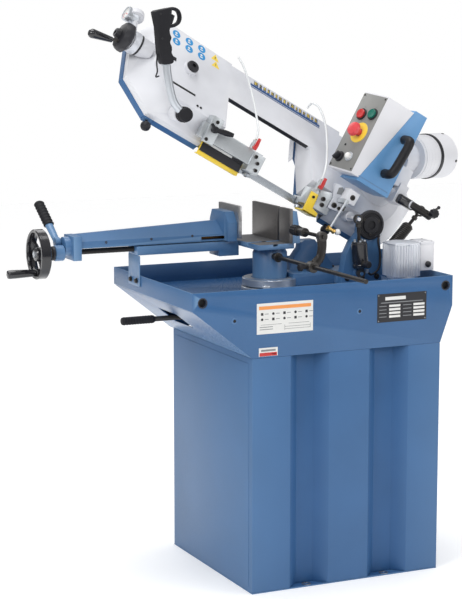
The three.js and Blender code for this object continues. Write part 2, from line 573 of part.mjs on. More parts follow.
function makeHoses() {
  const left = [[-318, 138, 1172], [-296, 118, 1150], [-262, 78, 1096], [-238, 34, 1040], [-228, 6,
    1006], [-226, -6, 979]];
  const right = [[-66, 134, 1152], [-64, 120, 1168], [-44, 98, 1160], [-14, 72, 1116], [4, 34, 1050], [6,
    6, 1006], [4, -4, 977]];
  add('coolant_hose_left', tube(left, 3, 20), HOSE, bow);
  add('coolant_hose_right', tube(right, 3, 22), HOSE, bow);
}

function makeHandle() {
  const y = -46;
  const curve = [[-460, y, 931], [-478, y, 940], [-496, y, 956], [-530, y, 984], [-560, y, 1010], [-576,
    y, 1028]];
  const knob = rod('y', 19, [-66, -28 - GAP], [-460, 931], 24);
  add('handle_tube', join(knob, tube(curve, 9, 16, 10)), STEEL, bow);
  const grip = [[-590, 1016], [-562, 1038], [-580, 1062], [-590, 1096], [-604, 1140], [-634, 1146],
    [-660, 1128], [-640, 1098], [-616, 1056]];
  const handle = prism('xz', grip, [y - 15, y + 15]);
  const loopOuter = [[-612, 1100], [-592, 1106], [-578, 1128], [-586, 1152], [-614, 1166], [-642, 1156],
    [-640, 1136]];
  const loopInner = [[-612, 1112], [-598, 1114], [-588, 1130], [-594, 1146], [-614, 1156], [-626, 1148],
    [-618, 1136]];
  const loop = cut(prism('xz', loopOuter, [y - 8, y + 8]), prism('xz', loopInner, [y - 9, y + 9]));
  const socket = bar(11, [-552, y, 1001], [-594, y, 1047], 16);
  const well = box([-626, -594], [y - 5.5, y + 5.5], [1112, 1140]);
  add('handle_grip', cut(join(handle, loop), socket, well), BLACK, bow);
  const trigger = prism('xz', [[-618, 1138], [-612, 1118], [-606, 1114], [-605, 1118], [-609, 1138]],
    [y - 5, y + 5]);
  add('trigger', trigger, BLACK, bow);
}

// ---- drive and controls ----
function makeDrive() {
  const { x, s, d, turn, radius } = WORM;
  const alongWorm = (from, to) => [from, to].map((t) => [x + t * Math.cos(turn), s + t * Math.sin(turn),
    d]);
  const cylinder = (r, from, to, sides = 28) => bar(r, ...alongWorm(from, to), sides);
  const body = rod('z', GEARBOX.radius, [CASTING.front + GAP, GEARBOX.front], [WHEEL.driveX, AXLE_S], 24);
  const wormCase = cylinder(44, -158, -96);
  const flange = cylinder(62, -104, -94);
  const gear = leaning(join(body, wormCase, flange));
  const bracket = box([186, 236], [-30, 30], [1066, 1124]);
  const postRoot = box([214, 244], [-34, 14], [1022, 1078]);
  const [hookX, hookZ] = SPRING.lug;
  const post = rod('x', 11, [230, 268], [-40, hookZ]);
  const hook = join(rod('y', 11, [-58, -40], [264, hookZ]), rod('x', 6, [262, 330], [-53, hookZ], 12),
    rod('y', 5, [-56, -32], SPRING.lug, 12));
  add('gearbox', join(gear, bracket, postRoot, post, hook), WHITE, bow);
  add('motor_body', leaning(cylinder(radius, -94 + GAP, 0)), WHITE, bow);
  add('motor_fan_cover', leaning(cylinder(radius + 2, GAP, 54)), WHITE, bow);
}

function makeControls() {
  const [fx, fy] = PANEL.front;
  const [rx, ry] = PANEL.rear;
  const section = (z, back) => ({ at: z, points: [[fx, fy], [back, fy], [back, ry], [rx, ry]] });
  const caseBody = loft([section(PANEL.bottom, 72), section(PANEL.top, 138)]);
  const housing = loft([
    { at: PANEL.bottom - 8, points: [[70.4, fy], [181.5, fy], [181.5, ry], [70.4, ry]] },
    { at: PANEL.top + 8, points: [[141, fy], [181.5, fy], [181.5, ry], [141, ry]] },
  ]);
  const along = new THREE.Vector3(rx - fx, ry - fy, 0).normalize();
  const out = new THREE.Vector3(-along.y, along.x, 0);
  const place = ([u, z], depth) => [fx + along.x * u + out.x * depth, fy + along.y * u + out.y * depth,
    PANEL.middle + z];
  const button = (at, radius, from, to, sides = 16) => bar(radius, place(at, from), place(at, to), sides);
  const stations = { start: [24, 57], stop: [66, 50], emergency: [42, -2], selector: [70, -81] };
  const wells = [
    button(stations.start, 9.5, -14, 1), button(stations.stop, 9.5, -14, 1),
    button(stations.emergency, 10.5, -22, 1), button(stations.selector, 8.5, -14, 1),
  ];
  add('control_box', cut(caseBody, ...wells), WHITE, bow);
  const room = leaning(rod('z', GEARBOX.radius + 2, [60, GEARBOX.front + 2], [WHEEL.driveX, AXLE_S]));
  add('drive_housing', cut(housing, room), BLUE, bow);
  add('start_button', join(button(stations.start, 9, -8, 5), button(stations.start, 11, 4.5, 10)), GREEN,
    bow);
  add('stop_button', join(button(stations.stop, 9, -8, 5), button(stations.stop, 11, 4.5, 10)), RED, bow);
  const mushroom = join(button(stations.emergency, 10, -12, 20), button(stations.emergency, 20, 18, 34));
  add('emergency_stop', mushroom, RED, bow);
  const switchBody = join(button(stations.selector, 8, -12, 4), button(stations.selector, 12, 1, 8));
  add('selector_switch', join(switchBody, button(stations.selector, 4, 6, 20, 12)), BLACK, bow);

  const yOut = -100;
  const bridge = join(
    prism('xz', [[124, 1059], [143, 1055], [153, 1187], [134, 1191]], [yOut, yOut + 17]),
    prism('xz', [[124, 1059], [143, 1055], [145, 1080], [126, 1084]], [yOut, fy - GAP]),
    prism('xz', [[132, 1166], [151, 1162], [153, 1187], [134, 1191]], [yOut, fy - GAP]),
  );
  add('bridge_handle', bridge, BLACK, bow);
}

makeStand();
makeTray();
makePedestal();
makeVice();
makeSmallStandParts();
makeTurntable();
makeFeedCylinder();
makeReturnSpring();
makeBowFrame();
makeBladeTension();
makeGuides();
makeHoses();
makeHandle();
makeDrive();
makeControls();

export default saw;
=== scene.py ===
# Looks of the mitre band saw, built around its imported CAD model.
# Drawn in millimetres in the same local frames as the CAD, then brought to metres.
import math
import bmesh
import bpy
from mathutils import Matrix, Vector


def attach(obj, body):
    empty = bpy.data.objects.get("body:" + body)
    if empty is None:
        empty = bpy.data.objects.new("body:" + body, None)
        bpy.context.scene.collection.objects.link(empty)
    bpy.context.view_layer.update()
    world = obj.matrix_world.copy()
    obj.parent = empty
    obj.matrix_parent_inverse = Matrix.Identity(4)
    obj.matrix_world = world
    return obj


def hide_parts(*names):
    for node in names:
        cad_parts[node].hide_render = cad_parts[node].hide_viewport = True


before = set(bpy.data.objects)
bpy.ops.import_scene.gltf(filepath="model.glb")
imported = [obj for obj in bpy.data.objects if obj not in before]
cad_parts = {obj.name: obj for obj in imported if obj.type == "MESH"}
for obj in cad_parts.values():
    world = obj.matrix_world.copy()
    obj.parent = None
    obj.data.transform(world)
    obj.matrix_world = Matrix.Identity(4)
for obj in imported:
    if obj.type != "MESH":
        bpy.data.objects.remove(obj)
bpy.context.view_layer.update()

# ---- local frames, from millimetres to the row frame ----
METRES = Matrix.Scale(0.001, 4)
PIVOT = Vector((172, 0, 930))
RAISED = math.radians(29.7)
BLADE_Y, BLADE_Z, PLANE_RISE = 41, 897, 145
LEAN = math.radians(40)
WHEEL_R, IDLER_X, DRIVE_X = 130, -460, 201
AXLE_S = WHEEL_R - PLANE_RISE


def columns(x, y, z, origin):
    """The frame whose axes and origin are these, in the frame around it."""
    return Matrix((x, y, z)).transposed().to_4x4() + Matrix((
        (0, 0, 0, origin[0]), (0, 0, 0, origin[1]), (0, 0, 0, origin[2]), (0, 0, 0, 0)))


def link(foot, eye):
    """The frame of a link: z runs from its foot (x, y, z) to its eye (x, z)."""
    turn = math.atan2(eye[0] - foot[0], eye[1] - foot[2])
    return METRES @ Matrix.Translation(foot) @ Matrix.Rotation(turn, 4, "Y")


SAW = METRES
BOW = METRES @ Matrix.Translation(PIVOT) @ Matrix.Rotation(RAISED, 4, "Y") @ Matrix.Translation(-PIVOT)
SIN, COS = math.sin(LEAN), math.cos(LEAN)
# The wheel plane: x along the bow, s up the leaning plane, d out of its front.
PLANE = BOW @ columns((1, 0, 0), (0, SIN, COS), (0, -COS, SIN),
                      (0, BLADE_Y + PLANE_RISE * SIN, BLADE_Z + PLANE_RISE * COS))
PANEL_FRONT, PANEL_REAR, PANEL_MIDDLE_Z = (45, -60), (23, 35), 1141
ALONG = Vector((PANEL_REAR[0] - PANEL_FRONT[0], PANEL_REAR[1] - PANEL_FRONT[1], 0)).normalized()
OUT = Vector((-ALONG.y, ALONG.x, 0))
# The operating panel: x along it to the rear, y up, z out of its face.
PANEL = BOW @ columns(ALONG, (0, 0, 1), OUT, (*PANEL_FRONT, PANEL_MIDDLE_Z))
WORM = PLANE @ Matrix.Translation((342, 147, 150)) @ Matrix.Rotation(math.radians(35), 4, "Z")
FEED = link((134, -76, 800), (124, 950))
SPRING = link((234, -40, 848), (340, 958))
# The front of the stand: x to the right, y up, z out of it.
FACE_Y = -256
FRONT = METRES @ columns((1, 0, 0), (0, 0, 1), (0, -1, 0), (0, FACE_Y, 0))

# ---- places on axes, in millimetres ----
ORIGIN = (0, 0, 0)
PEDESTAL = (-85, 41, 0)
VICE_SCREW = (0, 128, 877)
CRANK = (0, 128, 828)
STOP_ROD = (-95, 0, 852)
STOP_SCREW = (-68, 0, 930)
PUMP_X, PUMP_Y = 222, -143
HANDLE_FOOT = (-460, 0, 931)
CLAMP_LEVER_X, CLAMP_LEVER_Z = -357, 940

# ---- camera ----
camera = bpy.data.objects.new("camera", bpy.data.cameras.new("camera"))
bpy.context.scene.collection.objects.link(camera)
bpy.context.scene.camera = camera
camera.data.sensor_width = 36
camera.data.lens = 113.808
camera.location = (-2.358, -4.562, 1.547)
YAW, PITCH = math.radians(25.1), math.radians(-9.1)
looking = Vector((math.sin(YAW) * math.cos(PITCH), math.cos(YAW) * math.cos(PITCH), math.sin(PITCH)))
camera.rotation_euler = looking.to_track_quat("-Z", "Y").to_euler()
camera.data.clip_end = 60


# ---- materials ----
def mixed(tree, factor, low, high):
    """A colour mix; each input is a socket, a number or a colour."""
    mix = tree.nodes.new("ShaderNodeMix")
    mix.data_type = "RGBA"
    for socket, value in ((mix.inputs[0], factor), (mix.inputs[6], low), (mix.inputs[7], high)):
        if isinstance(value, bpy.types.NodeSocket):
            tree.links.new(value, socket)
        elif isinstance(value, float):
            socket.default_value = value
        else:
            socket.default_value = (*value, 1)
    return mix.outputs[2]


def noise(tree, coordinates, scale, detail=3.0, stretch=None):
    if stretch:
        mapping = tree.nodes.new("ShaderNodeMapping")
        mapping.inputs["Scale"].default_value = stretch
        tree.links.new(coordinates, mapping.inputs[0])
        coordinates = mapping.outputs[0]
    node = tree.nodes.new("ShaderNodeTexNoise")
    node.inputs["Scale"].default_value = scale
    node.inputs["Detail"].default_value = detail
    tree.links.new(coordinates, node.inputs["Vector"])
    return node.outputs[0]


def ranged(tree, value, low, high, start=0.3, end=0.7):
    node = tree.nodes.new("ShaderNodeMapRange")
    for name, number in (("From Min", start), ("From Max", end), ("To Min", low), ("To Max", high)):
        node.inputs[name].default_value = number
    tree.links.new(value, node.inputs[0])
    return node.outputs[0]


def surface(name, color, rough, metal=0.0, mottle=0.06, patch=7.0, grain=900.0, bump=0.12,
            stretch=None, wear=None, coat=0.0, spread=0.06, shine=0.5):
    """A finish with patches of tone, a fine grain in bump and gloss, and optional lighter edges that are
    worn and painted highlight.
    """
    material = bpy.data.materials.new(name)
    material.use_nodes = True
    tree = material.node_tree
    shader = tree.nodes["Principled BSDF"]
    here = tree.nodes.new("ShaderNodeTexCoord").outputs["Object"]
    dark = [c * (1 - mottle) for c in color]
    light = [min(1.0, c * (1 + mottle)) for c in color]
    patches = ranged(tree, noise(tree, here, patch), 0.0, 1.0)
    fine = noise(tree, here, grain, 2.0, stretch)
    tone = mixed(tree, patches, dark, light)
    if stretch:
        tone = mixed(tree, ranged(tree, fine, 0.0, 0.5), tone, [c * 0.8 for c in color])
    # Painted highlight and wear: pointiness mixes a lighter colour into the convex edges.
    if wear:
        edges = tree.nodes.new("ShaderNodeNewGeometry").outputs["Pointiness"]
        tone = mixed(tree, ranged(tree, edges, 0.0, 0.45, 0.53, 0.62), tone, wear)
    tree.links.new(tone, shader.inputs["Base Color"])
    tree.links.new(ranged(tree, fine, rough - spread, rough + spread), shader.inputs["Roughness"])
    shader.inputs["Metallic"].default_value = metal
    shader.inputs["Specular IOR Level"].default_value = shine
    shader.inputs["Coat Weight"].default_value = coat
    shader.inputs["Coat Roughness"].default_value = 0.15
    raised = tree.nodes.new("ShaderNodeBump")
    raised.inputs["Strength"].default_value = bump
    raised.inputs["Distance"].default_value = 0.0006
    tree.links.new(fine, raised.inputs["Height"])
    tree.links.new(raised.outputs[0], shader.inputs["Normal"])
    return material


def ink(name, color, rough=0.35, mottle=0.04):
    """A flat printed finish; the black one is also laid as a strip of painted shade."""
    return surface(name, color, rough, grain=900, bump=0.02, mottle=mottle)


# A paler blue painted along the edges of the blue paints, as highlight and wear.
PALE_EDGE = (0.24, 0.40, 0.60)
blue = surface("blue_powder_coat", (0.038, 0.114, 0.270), 0.40, grain=650, bump=0.10, wear=PALE_EDGE,
               shine=0.28)
blue_cast = surface("blue_cast_paint", (0.065, 0.165, 0.335), 0.36, grain=220, bump=0.22, wear=PALE_EDGE,
                    coat=0.2)
blue_light = surface("blue_housing", (0.11, 0.29, 0.55), 0.34, grain=500, bump=0.1, wear=PALE_EDGE)
tray_blue = surface("blue_gloss_coat", (0.040, 0.118, 0.270), 0.27, grain=500, bump=0.05, wear=PALE_EDGE,
                    shine=0.35)
white_cast = surface("silver_white_cast_paint", (0.68, 0.69, 0.73), 0.42, grain=300, bump=0.30,
                     mottle=0.05, patch=14, wear=(0.80, 0.80, 0.82))
white = surface("white_enamel", (0.76, 0.76, 0.79), 0.34, grain=700, bump=0.06, mottle=0.03)
black = surface("black_moulding", (0.010, 0.010, 0.013), 0.42, shine=0.3, grain=1500, bump=0.25, mottle=0.2,
                wear=(0.07, 0.07, 0.08))
rubber = surface("black_rubber", (0.012, 0.012, 0.015), 0.60, shine=0.25, grain=1100, bump=0.4, mottle=0.25)
black_metal = surface("black_oxide", (0.022, 0.020, 0.019), 0.34, 0.4, shine=0.4, grain=500, bump=0.15,
                      mottle=0.25, wear=(0.15, 0.14, 0.13))
gloss_black = surface("gloss_black", (0.012, 0.012, 0.015), 0.16, grain=300, bump=0.03, mottle=0.2,
                      coat=0.5)
steel = surface("ground_steel", (0.50, 0.50, 0.51), 0.32, 0.95, grain=60, bump=0.12, stretch=(1, 1, 30),
                mottle=0.08)
jaw_steel = surface("jaw_steel", (0.20, 0.19, 0.185), 0.42, 0.75, grain=60, bump=0.15, stretch=(30, 1, 30),
                    mottle=0.15)
chrome = surface("satin_chrome", (0.56, 0.59, 0.63), 0.34, 0.8, grain=60, bump=0.0, mottle=0.04, spread=0.0)
aluminium = surface("milled_aluminium", (0.56, 0.59, 0.61), 0.38, 0.75, grain=50, bump=0.10,
                    stretch=(2, 24, 24), mottle=0.06)
pump_alu = surface("die_cast_aluminium", (0.70, 0.72, 0.77), 0.45, 0.55, grain=500, bump=0.25, mottle=0.06)
iron = surface("machined_iron", (0.22, 0.22, 0.23), 0.45, 0.8, grain=70, bump=0.2, stretch=(1, 20, 20),
               mottle=0.15)
blade_steel = surface("blade_steel", (0.42, 0.45, 0.49), 0.30, 0.9, grain=60, bump=0.08,
                      stretch=(1, 30, 30), mottle=0.1)
brass = surface("brass", (0.66, 0.42, 0.13), 0.26, 0.95, grain=500, bump=0.06, mottle=0.12)
bronze = surface("oiled_bronze", (0.16, 0.075, 0.02), 0.35, 0.6, grain=80, bump=0.1, stretch=(1, 20, 20),
                 mottle=0.2)
yellow = surface("yellow_enamel", (0.88, 0.60, 0.015), 0.36, grain=700, bump=0.08, mottle=0.04,
                 wear=(0.95, 0.75, 0.2))
red = surface("red_moulding", (0.56, 0.025, 0.025), 0.30, grain=900, bump=0.06, mottle=0.08, coat=0.2)
signal_red = surface("signal_red", (0.70, 0.06, 0.07), 0.32, grain=900, bump=0.06, mottle=0.05, coat=0.2)
green = surface("green_moulding", (0.001, 0.15, 0.105), 0.30, grain=900, bump=0.06, mottle=0.08, coat=0.2)
panel_grey = surface("panel_grey", (0.27, 0.27, 0.26), 0.45, 0.2, grain=1200, bump=0.1, mottle=0.05)
hose = surface("hose_clear", (0.78, 0.80, 0.81), 0.22, grain=300, bump=0.02, mottle=0.03, coat=0.3)
lens = surface("milky_lens", (0.85, 0.84, 0.82), 0.18, grain=200, bump=0.02, mottle=0.02, coat=0.5)
# Near-black painted shade, laid as discs and strips in holes, slots, wells and gaps; also the colour of the
# unlit LED.
dark = surface("painted_shade_and_led_black", (0.012, 0.012, 0.014), 0.7, grain=500, bump=0.1, mottle=0.2)
print_white = ink("print_white", (0.74, 0.74, 0.72), 0.40, mottle=0.02)
print_grey = ink("print_grey", (0.22, 0.23, 0.24), 0.45, mottle=0.05)
black_print_and_shade = ink("black_print_and_shade", (0.014, 0.014, 0.018), mottle=0.1)
print_orange = ink("print_orange", (0.80, 0.30, 0.08), 0.4)
print_blue = ink("print_blue", (0.03, 0.28, 0.62))
stripe_blue = ink("stripe_blue", (0.03, 0.085, 0.23))


# ---- mesh code: each shape is (points, faces) in millimetres ----
def block(x, y, z):
    points = [(a, b, c) for c in z for b in y for a in x]
    return points, [(0, 2, 3, 1), (4, 5, 7, 6), (0, 1, 5, 4), (2, 6, 7, 3), (0, 4, 6, 2), (1, 3, 7, 5)]


AXES = {
    "x": Matrix(((0, 0, 1), (1, 0, 0), (0, 1, 0))),
    "y": Matrix(((0, 1, 0), (0, 0, 1), (1, 0, 0))),
    "z": Matrix.Identity(3),
}


def placed(shape, matrix):
    return [tuple(matrix @ Vector(p)) for p in shape[0]], shape[1]


def turned(profile, axis="z", at=(0, 0, 0), sides=40, ring=False, lobes=0, depth=0.0):
    """(radius, height) pairs turned round an axis through at; ring closes the profile on itself."""
    points, faces = [], []
    for radius, height in profile:
        for i in range(sides):
            angle = 2 * math.pi * i / sides
            r = radius * (1 - depth * (0.5 + 0.5 * math.cos(lobes * angle))) if lobes else radius
            points.append((r * math.cos(angle), r * math.sin(angle), height))
    levels = len(profile)
    for k in range(levels if ring else levels - 1):
        a, b = k * sides, (k + 1) % levels * sides
        for i in range(sides):
            j = (i + 1) % sides
            faces.append((a + i, a + j, b + j, b + i))
    if not ring:
        faces.append(tuple(range(sides))[::-1])
        faces.append(tuple((levels - 1) * sides + i for i in range(sides)))
    base = AXES[axis].to_4x4()
    return placed((points, faces), Matrix.Translation(at) @ base)


def disc(radius, span, axis, at, sides=40, edge=0.8):
    """A short cylinder with eased rims; at holds the point where the height is 0."""
    low, high = span
    return turned([(radius - edge, low), (radius, low + edge), (radius, high - edge),
                   (radius - edge, high)],
                  axis, at, sides)


def prism(plane, outline, span):
    """An outline in a plane ("xy" or "xz"), drawn out along the third axis."""
    count = len(outline)
    if plane == "xy":
        points = [(a, b, c) for c in span for a, b in outline]
    else:
        points = [(a, c, b) for c in span for a, b in outline]
    faces = [tuple(range(count)), tuple(range(2 * count - 1, count - 1, -1))]
    faces += [(i, i + count, (i + 1) % count + count, (i + 1) % count) for i in range(count)]
    return points, faces


def spline(points, steps=6):
    """Points on a Catmull-Rom curve through the given ones."""
    path = [Vector(p) for p in points]
    path = [2 * path[0] - path[1], *path, 2 * path[-1] - path[-2]]
    line = []
    for a, b, c, d in zip(path, path[1:], path[2:], path[3:]):
        for i in range(steps):
            t = i / steps
            square, cube = 2 * a - 5 * b + 4 * c - d, 3 * b - a - 3 * c + d
            line.append(0.5 * (2 * b + (c - a) * t + square * t * t + cube * t ** 3))
    return line + [path[-2]]


def swept(line, radius, sides=12, closed=False, flat=1.0):
    """A tube along a line; radius is a number or a function of the share of the way along."""
    line = [Vector(p) for p in line]
    count = len(line)
    size = radius if callable(radius) else (lambda share: radius)
    points, faces = [], []
    side = None
    for k, p in enumerate(line):
        if closed:
            before, after = line[k - 1], line[(k + 1) % count]
        else:
            before, after = line[max(k - 1, 0)], line[min(k + 1, count - 1)]
        forward = (after - before).normalized()
        if side is None:
            side = forward.orthogonal() if abs(forward.y) > 0.9 else forward.cross(Vector((0, 1, 0)))
        side = (side - forward * side.dot(forward)).normalized()
        up = forward.cross(side)
        r = size(k / (count - 1))
        for i in range(sides):
            angle = 2 * math.pi * i / sides
            points.append(tuple(p + side * (r * math.cos(angle)) + up * (r * flat * math.sin(angle))))
    for k in range(count if closed else count - 1):
        a, b = k * sides, (k + 1) % count * sides
        faces += [(a + i, a + (i + 1) % sides, b + (i + 1) % sides, b + i) for i in range(sides)]
    if not closed:
        faces += [tuple(range(sides))[::-1], tuple((count - 1) * sides + i for i in range(sides))]
    return points, faces


def helix(radius, span, turns):
    low, high = span
    steps = 20
    count = int(turns * steps)
    return [(radius * math.cos(2 * math.pi * k / steps), radius * math.sin(2 * math.pi * k / steps),
             low + (high - low) * k / count) for k in range(count + 1)]


def around(count, radius, start=0.0):
    """Offsets of evenly spaced places on a circle."""
    angles = [start + 2 * math.pi * k / count for k in range(count)]
    return [(radius * math.cos(a), radius * math.sin(a)) for a in angles]


def cap_screw(radius, height, axis, at, toward=1):
    """A socket screw head with a round well, standing on at and pointing along the axis."""
    profile = [(radius, 0), (radius, height * 0.85), (radius * 0.88, height), (radius * 0.55, height),
               (radius * 0.5, height * 0.35)]
    return turned([(r, h * toward) for r, h in profile], axis, at, 20)


def hex_head(radius, height, axis, at, toward=1):
    washer = turned([(radius * 1.25, 0), (radius * 1.25, toward * height * 0.2)], axis, at, 24)
    head = turned([(radius, toward * height * 0.2), (radius, toward * height * 0.9),
                   (radius * 0.88, toward * height)], axis, at, 6)
    return washer, head


def of(material, *shapes):
    """Pairs of each shape and the one material."""
    return [(shape, material) for shape in shapes]


def cap_screws(radius, height, axis, places, toward=1, material=black_metal):
    return of(material, *[cap_screw(radius, height, axis, at, toward) for at in places])


def hex_heads(radius, height, axis, places, toward=1):
    return of(black_metal, *[part for at in places for part in hex_head(radius, height, axis, at, toward)])


def smooth_group():
    """Shades faces smooth and keeps edges sharper than 32 degrees."""
    group = bpy.data.node_groups.new("smooth_by_angle", "GeometryNodeTree")
    group.interface.new_socket("Geometry", in_out="INPUT", socket_type="NodeSocketGeometry")
    group.interface.new_socket("Geometry", in_out="OUTPUT", socket_type="NodeSocketGeometry")
    start, end = group.nodes.new("NodeGroupInput"), group.nodes.new("NodeGroupOutput")
    angle = group.nodes.new("GeometryNodeInputMeshEdgeAngle")
    soft = group.nodes.new("FunctionNodeCompare")
    soft.operation = "LESS_EQUAL"
    soft.inputs[1].default_value = math.radians(32)
    faces, edges = (group.nodes.new("GeometryNodeSetShadeSmooth") for _ in range(2))
    faces.domain, edges.domain = "FACE", "EDGE"
    group.links.new(angle.outputs[0], soft.inputs[0])
    group.links.new(start.outputs[0], faces.inputs[0])
    group.links.new(faces.outputs[0], edges.inputs[0])
    group.links.new(soft.outputs[0], edges.inputs["Shade Smooth"])
    group.links.new(edges.outputs[0], end.inputs[0])
    return group


SMOOTH = smooth_group()


def finish_shape(obj, bevel, segments=2, weld=False):
    if weld:
        obj.modifiers.new("weld", "WELD").merge_threshold = 0.00001
        flat = obj.modifiers.new("flat_faces", "DECIMATE")
        flat.decimate_type = "DISSOLVE"
        flat.angle_limit = math.radians(0.6)
    if bevel:
        round_edges = obj.modifiers.new("round_edges", "BEVEL")
        round_edges.width = bevel / 1000
        round_edges.segments = segments
        round_edges.limit_method = "ANGLE"
        round_edges.angle_limit = math.radians(32)
        round_edges.harden_normals = False
    obj.modifiers.new("smooth_by_angle", "NODES").node_group = SMOOTH


def piece(name, body, local, parts, bevel=0.0, replaces=()):
    """One object from (shape, material) pairs drawn in a local frame, riding on a body."""
    points, faces, slots, materials = [], [], [], []
    for (shape_points, shape_faces), material in parts:
        if material not in materials:
            materials.append(material)
        first = len(points)
        points += [tuple(local @ Vector(p)) for p in shape_points]
        faces += [tuple(first + i for i in f) for f in shape_faces]
        slots += [materials.index(material)] * len(shape_faces)
    mesh = bpy.data.meshes.new(name)
    mesh.from_pydata(points, [], faces)
    for material in materials:
        mesh.materials.append(material)
    mesh.polygons.foreach_set("material_index", slots)
    mesh.update()
    obj = bpy.data.objects.new(name, mesh)
    bpy.context.scene.collection.objects.link(obj)
    outward(mesh)
    finish_shape(obj, bevel)
    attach(obj, body)
    if replaces:
        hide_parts(*replaces)
    return obj


def outward(mesh):
    work = bmesh.new()
    work.from_mesh(mesh)
    bmesh.ops.recalc_face_normals(work, faces=work.faces)
    work.to_mesh(mesh)
    work.free()


def dress(nodes, material, bevel=1.2, segments=2):
    """Gives CAD nodes a finish and eased edges; bevel is in millimetres."""
    for name in nodes.split():
        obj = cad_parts[name]
        obj.data.materials.clear()
        obj.data.materials.append(material)
        finish_shape(obj, bevel, segments, weld=True)


# ---- coolant hoses ----
HOSES = {
    "left": [(-318, 138, 1172), (-296, 118, 1150), (-262, 78, 1096), (-238, 34, 1040), (-228, 6, 1006),
             (-226, -6, 979)],
    "right": [(-66, 134, 1152), (-64, 120, 1168), (-44, 98, 1160), (-14, 72, 1116), (4, 34, 1050),
              (6, 6, 1006), (4, -4, 977)],
}


def make_hoses():
    for side, route in HOSES.items():
        line = [BOW @ p for p in spline(route, 8)]
        curve = bpy.data.curves.new("hose_" + side, "CURVE")
        curve.dimensions = "3D"
        curve.bevel_depth = 0.003
        curve.bevel_resolution = 4
        curve.use_fill_caps = True
        path = curve.splines.new("POLY")
        path.points.add(len(line) - 1)
        for point, place in zip(path.points, line):
            point.co = (*place, 1)
        curve.materials.append(hose)
        obj = bpy.data.objects.new("coolant_hose_" + side + "_tube", curve)
        bpy.context.scene.collection.objects.link(obj)
        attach(obj, "bow")
        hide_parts("coolant_hose_" + side)


# ---- labels: thin plates with generic marks ----
def label(name, body, local, centre, size, ground, marks, thick=0.4):
    """A plate in a frame whose x and y span it; each mark is (kind, x, y, width, height, material)."""
    (cx, cy, cz), (w, h) = centre, size
    parts = [(block((cx - w / 2, cx + w / 2), (cy - h / 2, cy + h / 2), (cz, cz + thick)), ground)]
    top = (cz + thick, cz + thick + 0.15)
    for kind, x, y, a, b, material in marks:
        if kind == "bar":
            parts.append((block((cx + x - a / 2, cx + x + a / 2), (cy + y - b / 2, cy + y + b / 2), top),
                          material))
        elif kind == "disc":
            parts.append((disc(a / 2, top, "z", (cx + x, cy + y, 0), 28, 0.05), material))
        else:
            outline = [(cx + x - a / 2, cy + y - b / 2), (cx + x + a / 2, cy + y - b / 2),
                       (cx + x, cy + y + b / 2)]
            parts.append((prism("xy", outline, top), material))
    return piece(name, body, local, parts)


def make_labels():
    rows = [("bar", 0, 28, 150, 9, print_orange)]
    for row, y in enumerate((12, -2)):
        for k in range(5):
            x = -66 + 32 * k
            rows.append(("disc" if (k + row) % 2 else "bar", x, y, 7, 7, black_print_and_shade))
            rows.append(("bar", x + 13, y, 11, 1.6, print_grey))
    for x, y, w, h in ((-40, -16, 60, 1), (40, -16, 60, 1), (-54, -22, 38, 1.8), (-54, -28, 38, 1.8),
                       (36, -24, 74, 1),
                       (36, -30, 74, 1), (-1, -26, 1, 14), (73, -25, 1, 12)):
        rows.append(("bar", x, y, w, h, print_grey))
    label("settings_label", "stand", FRONT, (-187, 730, 0), (162, 80), print_white, rows)
    label("care_label", "stand", FRONT, (-235, 643, 0), (54, 22), print_white,
          [("bar", 0, -6, 50, 9, red), ("bar", 0, 4, 42, 5, print_grey),
           ("bar", 16, -6, 14, 2, print_white)])
    marks = [("bar", -20, 25, 62, 9, print_white), ("bar", 0, 14, 128, 2.4, print_grey)]
    for row in range(4):
        y = 5 - 9.5 * row
        marks += [("bar", -58, y, 22, 2, print_grey), ("bar", -22, y, 34, 6, print_white),
                  ("bar", 16, y, 26, 2, print_grey), ("bar", 52, y, 34, 6, print_white)]
    marks += [("disc", x, y, 2.5, 2.5, chrome) for x in (-71, 71) for y in (-34, 34)]
    label("rating_plate", "stand", FRONT, (160, 733, 0), (150, 76), black_print_and_shade, marks)
    for k, (x, s) in enumerate(((-503, 113), (-460, 114), (-418, 115), (-500, 86), (-458, 87), (-416, 88))):
        label(f"instruction_disc_{k + 1}", "bow", PLANE, (x, s, 70), (0.1, 0.1), print_blue,
              [("disc", 0, 0, 25, 0, print_blue)], 0.2)
        piece(f"instruction_sign_{k + 1}", "bow", PLANE, [
            (disc(3.6, (70.3, 70.5), "z", (x - 1, s + 3.4, 0), 20, 0.05), print_white),
            (block((x - 5, x + 4), (s - 6, s - 2.4), (70.3, 70.5)), print_white)])
    for k, (x, s) in enumerate(((-372, 114), (-368, 90))):
        label(f"warning_triangle_{k + 1}", "bow", PLANE, (x, s, 70), (0.1, 0.1), yellow,
              [("triangle", 0, 0, 27, 23, yellow), ("bar", 0, -2, 3, 9, black_print_and_shade)], 0.2)
    bars = [("bar", 0, -7, 246, 8, stripe_blue), ("bar", 0, -14.5, 246, 2.6, stripe_blue)]
    widths = (15, 9, 10, 8, 11, 7, 12, 9, 8, 13, 7, 10, 9, 12, 8, 10)
    x = -112
    for k, w in enumerate(widths):
        bars.append(("bar", x + w / 2, 5, w, 14 + 2 * (k % 2), stripe_blue))
        bars.append(("bar", x + w / 2 - 0.6, 6, w * 0.72, 11 + 2 * (k % 2), yellow))
        x += w + 4.6
    label("beam_stripe", "bow", PLANE, (-125, 104, 70), (242, 0.5), stripe_blue, bars, 0.2)


